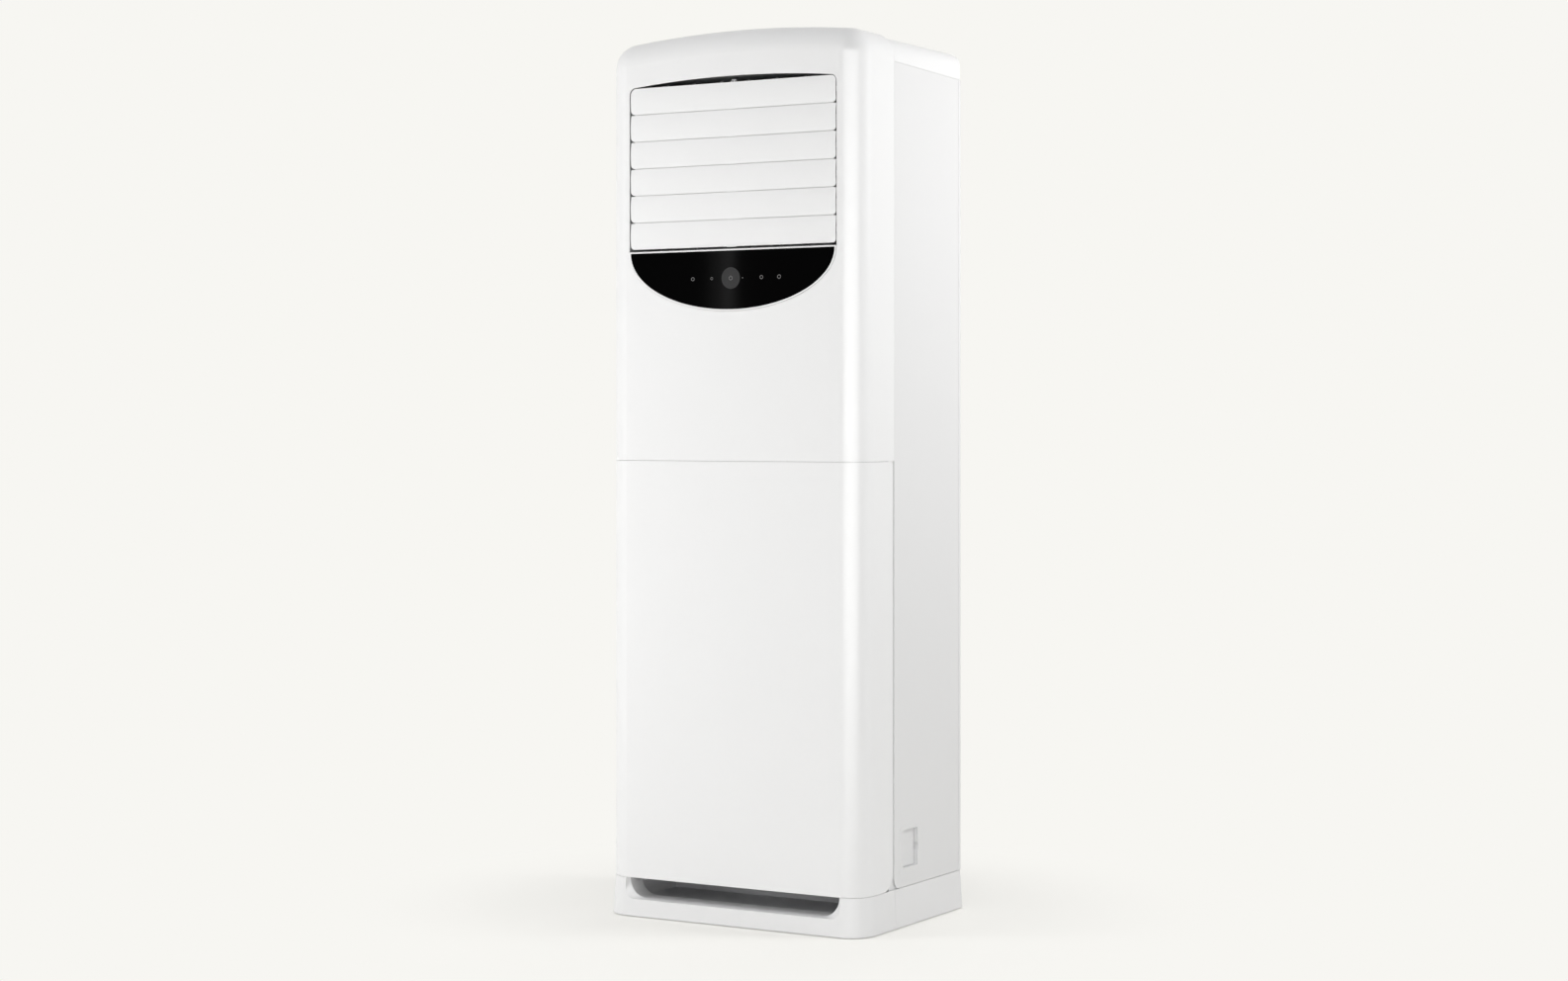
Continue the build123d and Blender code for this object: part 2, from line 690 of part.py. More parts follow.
def front_skirt():
    """Front of the base: the air slot, its scooped rim and the short tunnel behind it."""
    skirt = skirt_ring() & block(-WIDTH, WIDTH, -DEPTH, SEAM_Y - SEAM / 2, 0, BASE_TOP_Z)
    half = tunnel_half_x()
    floor = SLOT_BOTTOM_Z + SCOOP_RISE
    backing = block(-half - SCOOP_INSET - TUNNEL_WALL, half + SCOOP_INSET + TUNNEL_WALL,
                    FRONT_Y - SKIRT_PROUD, FRONT_Y + SCOOP_DEPTH, SLOT_BOTTOM_Z - TUNNEL_WALL, BASE_TOP_Z)
    tunnel_outer = slot_face(half + TUNNEL_WALL, floor - TUNNEL_WALL, SCOOP_CORNER_R + TUNNEL_WALL)
    tunnel = from_front(tunnel_outer, FRONT_Y + SCOOP_DEPTH, FRONT_Y + TUNNEL_DEPTH)
    tunnel = tunnel & block(-WIDTH, WIDTH, -DEPTH, 0, 0, BASE_TOP_Z)
    skirt = skirt + (skirt_solid(SKIRT_WALL / 2) & backing) + tunnel
    rim = Plane(origin=(0, FRONT_Y - SKIRT_FLARE - SKIRT_PROUD, 0), x_dir=(1, 0, 0), z_dir=(0, -1, 0))
    throat = Plane(origin=(0, FRONT_Y + SCOOP_DEPTH, 0), x_dir=(1, 0, 0), z_dir=(0, -1, 0))
    scoop = loft([
        rim * slot_face(SLOT_HALF_X + SCOOP_INSET / 2, SLOT_BOTTOM_Z - SCOOP_RISE / 2, SLOT_CORNER_R),
        throat * slot_face(half, floor, SCOOP_CORNER_R),
    ], ruled=True)
    bore = from_front(slot_face(half, floor, SCOOP_CORNER_R), FRONT_Y + SCOOP_DEPTH - OVER, SEAM_Y)
    return skirt - scoop - bore


def rear_skirt():
    return skirt_ring() & block(-WIDTH, WIDTH, SEAM_Y + SEAM / 2, DEPTH, 0, BASE_TOP_Z)


def base_plate():
    top = FOOT_H + BASE_SHEET
    margin = SIDE_X - BASE_SHEET_HALF_X
    face = plan_face(BASE_SHEET_HALF_X, FRONT_Y + margin, REAR_Y - margin,
                     CORNER_R - margin, REAR_CORNER_R)
    plate = from_top(face, FOOT_H, top)
    for x in (-ANCHOR_X, ANCHOR_X):
        for y in (ANCHOR_NEAR_Y, ANCHOR_FAR_Y):
            plate -= rod_z(0, 2 * top, x, y, ANCHOR_R)
    return plate


def rubber_feet():
    feet = []
    for x in (-FOOT_X, FOOT_X):
        for y in (FOOT_FRONT_Y, FOOT_REAR_Y):
            foot = rod_z(0, FOOT_H, x, y, FOOT_R)
            feet.append(chamfer(foot.edges().sort_by(Axis.Z)[0], FOOT_CHAMFER))
    return feet


def filter_z():
    """Underside height of the filter cassette."""
    return BASE_TOP_Z - FILTER_TOP_GAP - FILTER_T


def intake_plenum():
    """Tray behind the air slot: floor, back wall, end walls and the ledges the filter slides on."""
    half = tunnel_half_x()
    front = FRONT_Y + TUNNEL_DEPTH + FIT_GAP
    back = FRONT_Y + PLENUM_DEPTH
    under = PLENUM_FLOOR_Z - PLENUM_SHEET
    stand = FOOT_H + BASE_SHEET + FIT_GAP
    tray = block(-half, half, front, back, under, PLENUM_FLOOR_Z)
    tray += block(-half - PLENUM_SHEET, half + PLENUM_SHEET, back, back + PLENUM_SHEET, stand, PLENUM_TOP_Z)
    for side in (-1, 1):
        inner = side * half
        outer = side * (half + PLENUM_SHEET)
        tray += block(inner, outer, front, back + PLENUM_SHEET, stand, PLENUM_TOP_Z)
        ledge_top = filter_z() - FIT_GAP
        tray += block(inner, inner - side * RAIL_W, front, back, ledge_top - PLENUM_SHEET, ledge_top)
        keeper = BASE_TOP_Z - FILTER_TOP_GAP + FIT_GAP
        tray += block(inner, inner - side * RAIL_W, front, back, keeper, keeper + PLENUM_SHEET)
    return tray


def air_filter():
    """Slide-out cassette: a frame with cross ribs over a fine mesh, and a pull tab."""
    half = tunnel_half_x() - FILTER_CLEARANCE
    low = filter_z()
    front = FRONT_Y + FILTER_FRONT_DEPTH
    back = FRONT_Y + PLENUM_DEPTH - FILTER_CLEARANCE
    frame = block(-half, half, front, back, low, low + FILTER_T)
    frame -= block(-half + FILTER_BAR, half - FILTER_BAR, front + FILTER_BAR, back - FILTER_BAR, 0, 2 * low)
    mesh_z = low + FILTER_T / 2
    frame += block(-half + OVER, half - OVER, front + OVER, back - OVER, mesh_z, mesh_z + FILTER_MESH_T)
    pitch = 2 * half / (FILTER_RIBS + 1)
    for index in range(1, FILTER_RIBS + 1):
        x = -half + index * pitch
        frame += block(x - FILTER_RIB / 2, x + FILTER_RIB / 2, front + OVER, back - OVER, low, low + FILTER_T)
    tab_low = low + (FILTER_T - FILTER_TAB_T) / 2
    tab = block(-FILTER_TAB_HALF_X, FILTER_TAB_HALF_X, front - FILTER_TAB_DEPTH, front + OVER,
                tab_low, tab_low + FILTER_TAB_T)
    return frame + tab


# ================================================================ chassis
def uprights():
    """Four folded corner posts standing on the base plate."""
    foot = FOOT_H + BASE_SHEET
    posts = []
    for side in (-1, 1):
        outer = side * UPRIGHT_X
        inner = side * (UPRIGHT_X - STEEL)
        turned = side * (UPRIGHT_X - UPRIGHT_LEG)
        front = block(inner, outer, UPRIGHT_FRONT_Y, UPRIGHT_FRONT_Y + UPRIGHT_FRONT_LEG, foot, UPRIGHT_TOP_Z)
        front += block(turned, outer, UPRIGHT_FRONT_Y, UPRIGHT_FRONT_Y + STEEL, foot, UPRIGHT_TOP_Z)
        rear = block(inner, outer, UPRIGHT_REAR_Y - UPRIGHT_REAR_LEG, UPRIGHT_REAR_Y, foot, UPRIGHT_TOP_Z)
        rear += block(turned, outer, UPRIGHT_REAR_Y - STEEL, UPRIGHT_REAR_Y, foot, UPRIGHT_TOP_Z)
        holes = [rod_y(UPRIGHT_REAR_Y - STEEL - OVER, REAR_Y, x, z, SCREW_HOLE_R)
                 for x, z in back_screw_places() if x * side > 0]
        rear = rear.cut(*holes)
        posts += [front, rear]
    return posts


def chamber_half_x():
    return UPRIGHT_X - STEEL - FIT_GAP


def chamber_front_y():
    return UPRIGHT_FRONT_Y + STEEL + FIT_GAP


def chamber_back_y():
    return UPRIGHT_REAR_Y - STEEL - FIT_GAP


def roof_plate():
    half = UPRIGHT_X
    return block(-half, half, COVER_FRONT_Y, chamber_back_y(), UPRIGHT_TOP_Z, UPRIGHT_TOP_Z + STEEL)


def scroll_points():
    """Centres of the three quarter arcs of the volute and the x of its right wall."""
    half = SCROLL_STEP / 2
    first = (-half, FAN_Z - half)
    second = (half, FAN_Z - half)
    third = (half, FAN_Z + half)
    right = half + SCROLL_R + 2 * SCROLL_STEP
    return first, second, third, right


def blower_deck():
    """Shelf between the blower below and the coil above."""
    half = chamber_half_x()
    deck = block(-half, half, chamber_front_y(), chamber_back_y(), DECK_Z, DECK_Z + DECK_T)
    right = scroll_points()[3]
    wall = SCROLL_WALL
    deck -= block(SCROLL_CUTOFF_X + wall, right - wall, SCROLL_FRONT_Y + wall, SCROLL_BACK_Y - wall,
                  DECK_Z - OVER, DECK_Z + 2 * DECK_T)
    for x, y, radius in pipe_passes():
        deck -= rod_z(DECK_Z - OVER, DECK_Z + 2 * DECK_T, x, y, radius + FIT_GAP)
    return deck


def pipe_passes():
    return [
        (GAS_RISER_X, GAS_RISER_Y, GAS_R),
        (LIQUID_RISER_X, LIQUID_RISER_Y, LIQUID_R),
        (DRAIN_X, DRAIN_Y, DRAIN_R),
    ]


def coil_cover():
    """Front sheet of the coil chamber, with the mouth that the discharge duct plugs into."""
    half = UPRIGHT_X
    back = COVER_FRONT_Y + STEEL
    sheet = block(-half, half, COVER_FRONT_Y, back, DECK_Z, UPRIGHT_TOP_Z)
    mouth = DUCT_HALF_X
    return sheet - block(-mouth, mouth, COVER_FRONT_Y - OVER, back + OVER, DUCT_FLOOR_Z, DUCT_CEILING_Z)


# ================================================================ side, back and top sheets
def side_outline():
    front = SEAM_Y + SEAM / 2
    points = [
        (front, PANEL_BOTTOM_Z), (REAR_Y, PANEL_BOTTOM_Z),
        (REAR_Y, PANEL_TOP_REAR_Z), (front, PANEL_TOP_FRONT_Z),
    ]
    return rounded(points, [PANEL_FRONT_CORNER_R, PANEL_REAR_CORNER_R, PANEL_TOP_CORNER_R, 0])


def panel_groove(side):
    """Shallow line that runs down inside the rear edge of a side sheet and turns in at its ends."""
    rear = REAR_Y - GROOVE_INSET
    fields = []
    for inset in (0, GROOVE_W):
        points = [
            (0, PANEL_BOTTOM_Z + inset), (rear - inset, PANEL_BOTTOM_Z + inset),
            (rear - inset, PANEL_TOP_REAR_Z - inset), (0, PANEL_TOP_REAR_Z - inset),
        ]
        fields.append(rounded(points, [0, PANEL_FIELD_R - inset, PANEL_TOP_CORNER_R - inset, 0]))
    line = from_side(fields[0] - fields[1], *sorted((side * (SIDE_X - GROOVE_DEPTH), side * (SIDE_X + OVER))))
    return line & block(-SIDE_X - OVER, SIDE_X + OVER, rear - PANEL_FIELD_R, REAR_Y, 0, CROWN_Z)


def side_panel(side):
    """Painted steel side with a folded front hem and a rear flange over the back sheet."""
    panel = from_side(side_outline(), *sorted((side * (SIDE_X - SHEET), side * SIDE_X)))
    panel -= panel_groove(side)
    front = SEAM_Y + SEAM / 2
    hem_low = PANEL_BOTTOM_Z + PANEL_FRONT_CORNER_R
    panel += block(side * (UPRIGHT_X + FIT_GAP), side * SIDE_X, front, front + SHEET,
                   hem_low, PANEL_TOP_FRONT_Z - PANEL_TOP_CORNER_R)
    low, high = back_flange_z()
    panel += block(side * (SIDE_X - PANEL_FLANGE), side * SIDE_X, REAR_Y - SHEET, REAR_Y, low, high)
    for x, z in back_screw_places():
        if x * side > 0:
            panel -= rod_y(BACK_FACE_Y - OVER, REAR_Y + OVER, x, z, SCREW_HOLE_R)
    return panel


def back_flange_z():
    return PANEL_BOTTOM_Z + PANEL_FIELD_R, PANEL_TOP_REAR_Z - PANEL_TOP_CORNER_R


def back_screw_places():
    low, high = back_flange_z()
    step = (high - low - 2 * SCREW_END_MARGIN) / (BACK_SCREWS - 1)
    x = SIDE_X - PANEL_FLANGE / 2
    heights = [low + SCREW_END_MARGIN + index * step for index in range(BACK_SCREWS)]
    return [(side * x, z) for side in (-1, 1) for z in heights]


def pocket_face(grow=0.0):
    """Side view of the service pocket: a rounded rectangle with a finger notch in its rear edge."""
    face = rectangle_face(POCKET_FRONT_Y - grow, POCKET_REAR_Y + grow,
                          POCKET_BOTTOM_Z - grow, POCKET_TOP_Z + grow, POCKET_CORNER_R + grow)
    middle = (POCKET_BOTTOM_Z + POCKET_TOP_Z) / 2
    notch_y = POCKET_REAR_Y - NOTCH_R + NOTCH_REACH
    return face + Pos(notch_y, middle) * Circle(NOTCH_R + grow)


def right_side_panel():
    """Right side with a raised border round the opening of the service pocket."""
    border = rectangle_face(POCKET_FRONT_Y - BORDER_W, POCKET_REAR_Y + BORDER_W / 2,
                            POCKET_BOTTOM_Z - BORDER_W, POCKET_TOP_Z + BORDER_W / 2, BORDER_CORNER_R)
    panel = side_panel(1) + from_side(border, SIDE_X, SIDE_X + BORDER_H)
    return panel - from_side(pocket_face(), SIDE_X - 2 * POCKET_RIM, SIDE_X + OVER)


def service_pocket():
    """Moulded tub behind the opening in the right side; its floor is left open for the flap."""
    outer_x = SIDE_X - SHEET - FIT_GAP
    floor_x = SIDE_X - POCKET_DEPTH
    flange = from_side(pocket_face(POCKET_RIM), outer_x - POCKET_WALL, outer_x)
    tub = from_side(pocket_face(POCKET_WALL), floor_x - 2 * POCKET_WALL, outer_x)
    tub = flange + tub - from_side(pocket_face(), floor_x - FLAP_T, SIDE_X)
    port = rectangle_face(POCKET_FRONT_Y + POCKET_RIM, POCKET_REAR_Y - POCKET_RIM,
                          POCKET_BOTTOM_Z + POCKET_RIM, POCKET_TOP_Z - POCKET_RIM, POCKET_CORNER_R)
    tub -= from_side(port, floor_x - 4 * POCKET_WALL, SIDE_X)
    x, y = flap_axis()
    for z0, z1 in flap_pin_spans():
        tub -= rod_z(z0, z1, x, y, FLAP_PIN_R + RUNNING)
    return tub


def flap_axis():
    x = SIDE_X - POCKET_DEPTH
    return x, POCKET_FRONT_Y + FLAP_GAP + FLAP_T


def flap_pin_spans():
    return [
        (POCKET_BOTTOM_Z - POCKET_WALL + FIT_GAP, POCKET_BOTTOM_Z + FLAP_GAP),
        (POCKET_TOP_Z - FLAP_GAP, POCKET_TOP_Z + POCKET_WALL - FIT_GAP),
    ]


def service_flap():
    """Flap that closes the pocket's floor and swings out on two short pins at its front edge."""
    x, y = flap_axis()
    low = POCKET_BOTTOM_Z + FLAP_GAP / 2
    high = POCKET_TOP_Z - FLAP_GAP / 2
    plate = rectangle_face(y, POCKET_REAR_Y - FLAP_GAP, low, high, FLAP_T)
    flap = from_side(plate, x - FLAP_T / 2, x + FLAP_T / 2)
    flap += rod_z(low, high, x, y, FLAP_T / 2 + FIT_GAP)
    for z0, z1 in flap_pin_spans():
        flap += rod_z(z0 + FIT_GAP, z1 - FIT_GAP, x, y, FLAP_PIN_R)
    middle = (low + high) / 2
    grip_y = POCKET_REAR_Y - 3 * FLAP_GAP
    flap += rod_z(middle - NOTCH_R, middle + NOTCH_R, x + FLAP_T / 2, grip_y, FLAP_T / 2)
    return flap


def back_panel():
    face_in = BACK_FACE_Y - SHEET
    half = SIDE_X - SHEET - FIT_GAP
    high = PANEL_TOP_REAR_Z - PANEL_TOP_CORNER_R
    panel = block(-half, half, face_in, BACK_FACE_Y, PANEL_BOTTOM_Z, high)
    for x in (-BEAD_X, BEAD_X):
        bead_low = OUTLET_Z + OUTLET_HALF_Z + BEAD_LOW_ROOM
        bead_high = TIE_Z - BEAD_HIGH_ROOM
        bead = rectangle_face(x - BEAD_W / 2, x + BEAD_W / 2, bead_low, bead_high, BEAD_END_R)
        panel += from_front(bead, face_in, BACK_FACE_Y + BEAD_H)
        panel -= from_front(offset(bead, -SHEET), face_in - OVER, face_in + BEAD_H)
    panel -= from_front(outlet_face(), face_in - OVER, REAR_Y)
    panel -= rod_y(face_in - OVER, REAR_Y, GLAND_X, GLAND_Z, GLAND_R + FIT_GAP)
    for x, z in back_screw_places():
        panel -= rod_y(face_in - OVER, REAR_Y, x, z, SCREW_HOLE_R)
    pad = rectangle_face(-TIE_HALF_X, TIE_HALF_X, TIE_Z - TIE_H / 2, TIE_Z + TIE_H / 2, SCREW_HEAD_R)
    panel += from_front(pad, face_in - TIE_T, BACK_FACE_Y)
    for x in (-TIE_SPACING / 2, TIE_SPACING / 2):
        panel -= rod_y(face_in - 2 * TIE_T, REAR_Y, x, TIE_Z, TIE_HOLE_R)
    return panel


def outlet_face(grow=0.0):
    return rectangle_face(OUTLET_X - OUTLET_HALF_X - grow, OUTLET_X + OUTLET_HALF_X + grow,
                          OUTLET_Z - OUTLET_HALF_Z - grow, OUTLET_Z + OUTLET_HALF_Z + grow,
                          OUTLET_CORNER_R + grow)


def outlet_grommet():
    """Rubber edging round the pipe outlet in the back sheet."""
    groove = from_front(outlet_face(-FIT_GAP), BACK_FACE_Y - SHEET - GROMMET_LIP / 2, BACK_FACE_Y + BEAD_H)
    inner_lip = from_front(outlet_face(GROMMET_LIP), BACK_FACE_Y - SHEET - GROMMET_LIP / 2 - FIT_GAP,
                           BACK_FACE_Y - SHEET - FIT_GAP)
    outer_lip = from_front(outlet_face(GROMMET_LIP), BACK_FACE_Y + FIT_GAP, BACK_FACE_Y + BEAD_H)
    bore = from_front(outlet_face(-GROMMET_LIP), BACK_FACE_Y - 4 * GROMMET_LIP, REAR_Y + GROMMET_LIP)
    return groove + inner_lip + outer_lip - bore


def cable_gland():
    """Threaded gland that the supply cable would come through."""
    y = BACK_FACE_Y
    gland = rod_y(y - GLAND_IN, y + GLAND_OUT, GLAND_X, GLAND_Z, GLAND_R)
    nut = RegularPolygon(GLAND_NUT_R, 6)
    collar = Pos(GLAND_X, y + FIT_GAP, GLAND_Z) * Rot(X=-90) * extrude(nut, GLAND_COLLAR_T)
    lock = Pos(GLAND_X, y - SHEET - FIT_GAP, GLAND_Z) * Rot(X=90) * extrude(nut, GLAND_NUT_T)
    return gland + collar + lock - rod_y(y - GLAND_NUT_R, y + GLAND_NUT_R, GLAND_X, GLAND_Z, GLAND_BORE_R)


def lid_top_z(y):
    """Height of the lid's sloping top at depth y."""
    front = SEAM_Y + SEAM / 2
    return TOP_FRONT_Z - TOP_FALL * (y - front) / (REAR_Y - front)


def shoulder_cut(inset):
    """What comes off the lid's long left edge: wide at the arched front, tighter at the back."""
    edge = SIDE_X - inset
    sections = []
    for y, radius in ((SEAM_Y, TOP_SEAM_EDGE_R - inset), (REAR_Y + OVER, TOP_EDGE_R - inset)):
        high = lid_top_z(y) - inset
        turn = radius * (1 - sqrt(0.5))
        start, middle, end = (-edge, high - radius), (turn - edge, high - turn), (radius - edge, high)
        outline = [
            ThreePointArc(start, middle, end),
            Polyline(end, (radius - edge, high + OVER), (-edge - OVER, high + OVER),
                     (-edge - OVER, high - radius), start),
        ]
        plane = Plane(origin=(0, y, 0), x_dir=(1, 0, 0), z_dir=(0, -1, 0))
        sections.append(plane * make_face(outline))
    return loft(sections, ruled=True)


def top_block(inset):
    """Solid block of the lid, drawn in by inset from the outside."""
    half = SIDE_X - inset
    front = SEAM_Y + SEAM / 2
    back = REAR_Y - inset
    side = rounded(
        [(front, PANEL_TOP_FRONT_Z + SEAM), (back, PANEL_TOP_REAR_Z + SEAM),
         (back, lid_top_z(back) - inset), (front, TOP_FRONT_Z - inset)],
        [0, 0, TOP_EDGE_R - inset, 0])
    solid = from_side(side, -half, half)
    upright = [edge for edge in solid.edges().filter_by(Axis.Z) if edge.center().Y > 0]
    solid = fillet(upright, TOP_CORNER_R - inset)
    left = solid - shoulder_cut(inset) - block(0, WIDTH, -DEPTH, DEPTH, 0, 2 * CROWN_Z)
    return left + mirror(left, Plane.YZ)


def top_cover():
    """Moulded lid behind the arched front, with a lip that drops inside the side sheets."""
    lid = top_block(0) - (top_block(TOP_WALL) - block(-WIDTH, WIDTH, -DEPTH, DEPTH, 0, PANEL_BOTTOM_Z))
    front = SEAM_Y + SEAM / 2
    hollow_floor = block(-SIDE_X + TOP_WALL, SIDE_X - TOP_WALL, front - OVER, REAR_Y - TOP_WALL,
                         PANEL_TOP_REAR_Z - OVER, PANEL_TOP_FRONT_Z + 2 * OVER)
    lid = lid - hollow_floor
    outer = SIDE_X - SHEET - FIT_GAP
    back = REAR_Y - SHEET - 3 * FIT_GAP - SHEET
    low = UPRIGHT_TOP_Z + STEEL + FIT_GAP
    high = PANEL_TOP_REAR_Z + 2 * TOP_WALL + PANEL_TOP_CORNER_R
    lip = from_top(plan_face(outer, front + TOP_WALL, back, 0, TOP_CORNER_R), low, high)
    lip -= from_top(plan_face(outer - TOP_WALL, front, back - TOP_WALL, 0, TOP_CORNER_R - TOP_WALL),
                    low - OVER, high + OVER)
    return lid + lip


# ================================================================ louvres
def louvre_axis_y():
    return FRONT_Y + LOUVRE_AXIS_DEPTH


def louvre_axis_z(index):
    return LOUVRE_LOW_Z + (index + 0.5) * LOUVRE_PITCH


def crank_place(index):
    return FRONT_Y + CRANK_DEPTH, louvre_axis_z(index) + CRANK_RISE


def louvre(index):
    """One convex blade with its end pivots, the rear lip and the crank ears at its middle."""
    z = louvre_axis_z(index)
    low = z - LOUVRE_PITCH / 2 + LOUVRE_GAP / 2
    high = z + LOUVRE_PITCH / 2 - LOUVRE_GAP / 2
    edge_y = FRONT_Y + LOUVRE_EDGE_DEPTH
    back_y = edge_y + LOUVRE_T
    foot = z - LOUVRE_PITCH / 2
    head = z + LOUVRE_PITCH / 2
    section = make_face([
        ThreePointArc((edge_y, foot), (edge_y - LOUVRE_BULGE, z), (edge_y, head)),
        Line((edge_y, head), (back_y, head)),
        ThreePointArc((back_y, head), (back_y - LOUVRE_BULGE, z), (back_y, foot)),
        Line((back_y, foot), (edge_y, foot)),
    ])
    blade = from_side(section, -LOUVRE_HALF_X - OVER, LOUVRE_HALF_X + OVER)
    top_r = OPENING_CORNER_R - LOUVRE_TOP_CORNER_GAP if index == LOUVRE_COUNT - 1 else LOUVRE_GAP
    outline = rounded(
        [(-LOUVRE_HALF_X, low), (LOUVRE_HALF_X, low), (LOUVRE_HALF_X, high), (-LOUVRE_HALF_X, high)],
        [LOUVRE_CORNER_R, LOUVRE_CORNER_R, top_r, top_r])
    blade = blade & from_front(outline, FRONT_Y - LOUVRE_AXIS_DEPTH, louvre_axis_y())
    blade += block(-TAB_HALF_X, TAB_HALF_X, edge_y, back_y, low - LOUVRE_GAP + TAB_GAP, low + LOUVRE_T)
    if index < LOUVRE_COUNT - 1:
        blade += louvre_lip(high, back_y)
    return blade + end_pivots(index, back_y) + crank_ears(index, back_y)


def louvre_lip(high, back_y):
    """Stepped lip that closes the gap behind the next blade up, open where the link passes."""
    half = LOUVRE_HALF_X - LIP_INSET
    front = back_y + LIP_STEP
    lip = block(-half, half, front, front + LIP_T, high - 2 * LIP_H, high + LIP_H)
    lip += block(-half, half, back_y - LOUVRE_BULGE / 2, front + LIP_T, high - 2 * LIP_H, high - LIP_H)
    return lip - block(-EAR_IN, EAR_IN, front - OVER, front + 2 * LIP_T, high - OVER, high + 2 * LIP_H)


def end_pivots(index, back_y):
    z = louvre_axis_z(index)
    axis_y = louvre_axis_y()
    pieces = []
    for side in (-1, 1):
        outer = side * (LOUVRE_HALF_X - END_TAB_INSET)
        inner = outer - side * END_TAB_T
        web = block(inner, outer, back_y - LOUVRE_BULGE - LOUVRE_T / 2, axis_y, z - END_TAB_R, z + END_TAB_R)
        web += rod_x(inner, outer, axis_y, z, END_TAB_R)
        driven = side < 0 and index == 0
        tip = DUCT_HALF_X + DUCT_WALL + (SWING_PLUG_L if driven else -FIT_GAP)
        pieces.append(web + rod_x(inner, side * tip, axis_y, z, LOUVRE_PIN_R))
    return pieces[0] + pieces[1]


def crank_ears(index, back_y):
    """Two triangular ears with the pin between them that the link turns on."""
    y, z = crank_place(index)
    root_y = back_y - LOUVRE_BULGE / 2
    reach = EAR_R * sqrt(0.5)
    shape = make_face(Polyline(
        (root_y, z - EAR_ROOT_FROM), (root_y, z - EAR_ROOT_TO), (y - reach, z + reach),
        (y + reach, z - reach), close=True).edges())
    ears = None
    for side in (-1, 1):
        span = sorted((side * EAR_IN, side * (EAR_IN + EAR_T)))
        ear = from_side(shape, *span) + rod_x(span[0], span[1], y, z, EAR_R)
        ears = ear if ears is None else ears + ear
    return ears + rod_x(-EAR_IN - EAR_T / 2, EAR_IN + EAR_T / 2, y, z, CRANK_PIN_R)


def louvre_link():
    """Flat bar that joins the cranks, so that the blades turn together."""
    y, low = crank_place(0)
    high = crank_place(LOUVRE_COUNT - 1)[1]
    side = rectangle_face(y - LINK_W / 2, y + LINK_W / 2, low - LINK_END, high + LINK_END, LINK_END_R)
    bar = from_side(side, -LINK_T / 2, LINK_T / 2)
    for index in range(LOUVRE_COUNT):
        hole_y, hole_z = crank_place(index)
        slack = RUNNING if index == 0 else LINK_SLACK
        bar -= rod_x(-LINK_T, LINK_T, hole_y, hole_z, CRANK_PIN_R + slack)
    return bar


def louvre_motor():
    """Small geared motor on the duct's left wall; the lowest blade's pivot plugs into it."""
    y = louvre_axis_y()
    z = louvre_axis_z(0)
    face = -(DUCT_HALF_X + DUCT_WALL + FIT_GAP)
    body = rod_x(face - SWING_MOTOR_L, face, y, z, SWING_MOTOR_R)
    ears = block(face - SWING_EAR_T, face, y - SWING_EAR_HALF, y + SWING_EAR_HALF,
                 z - SWING_EAR_REACH, z + SWING_EAR_REACH)
    return body + ears - rod_x(face - SWING_SOCKET_L, face + OVER, y, z, LOUVRE_PIN_R + RUNNING)


# ================================================================ duct and vanes
def vane_axis_y():
    return FRONT_Y + VANE_AXIS_DEPTH


def vane_axis_x(index):
    return (index - (VANE_COUNT - 1) / 2) * VANE_PITCH


def discharge_duct():
    """Box duct from the coil chamber to the front, bored for the louvre and vane pivots."""
    front = FRONT_Y + DUCT_FRONT_DEPTH
    back = COVER_FRONT_Y - FIT_GAP
    half = DUCT_HALF_X
    outer = half + DUCT_WALL
    duct = block(-outer, outer, front, back, DUCT_FLOOR_Z - DUCT_WALL, DUCT_CEILING_Z + DUCT_WALL)
    duct += block(-outer - DUCT_FLANGE, outer + DUCT_FLANGE, back - DUCT_WALL, back,
                  DUCT_FLOOR_Z - DUCT_FLANGE, UPRIGHT_TOP_Z)
    duct -= block(-half, half, front - OVER, back + OVER, DUCT_FLOOR_Z, DUCT_CEILING_Z)
    for index in range(LOUVRE_COUNT):
        duct -= rod_x(-outer - OVER, outer + OVER, louvre_axis_y(), louvre_axis_z(index),
                      LOUVRE_PIN_R + RUNNING)
    for index in range(VANE_COUNT):
        duct -= rod_z(DUCT_FLOOR_Z - 2 * DUCT_WALL, DUCT_CEILING_Z + 2 * DUCT_WALL,
                      vane_axis_x(index), vane_axis_y(), VANE_PIN_R + RUNNING)
    return duct


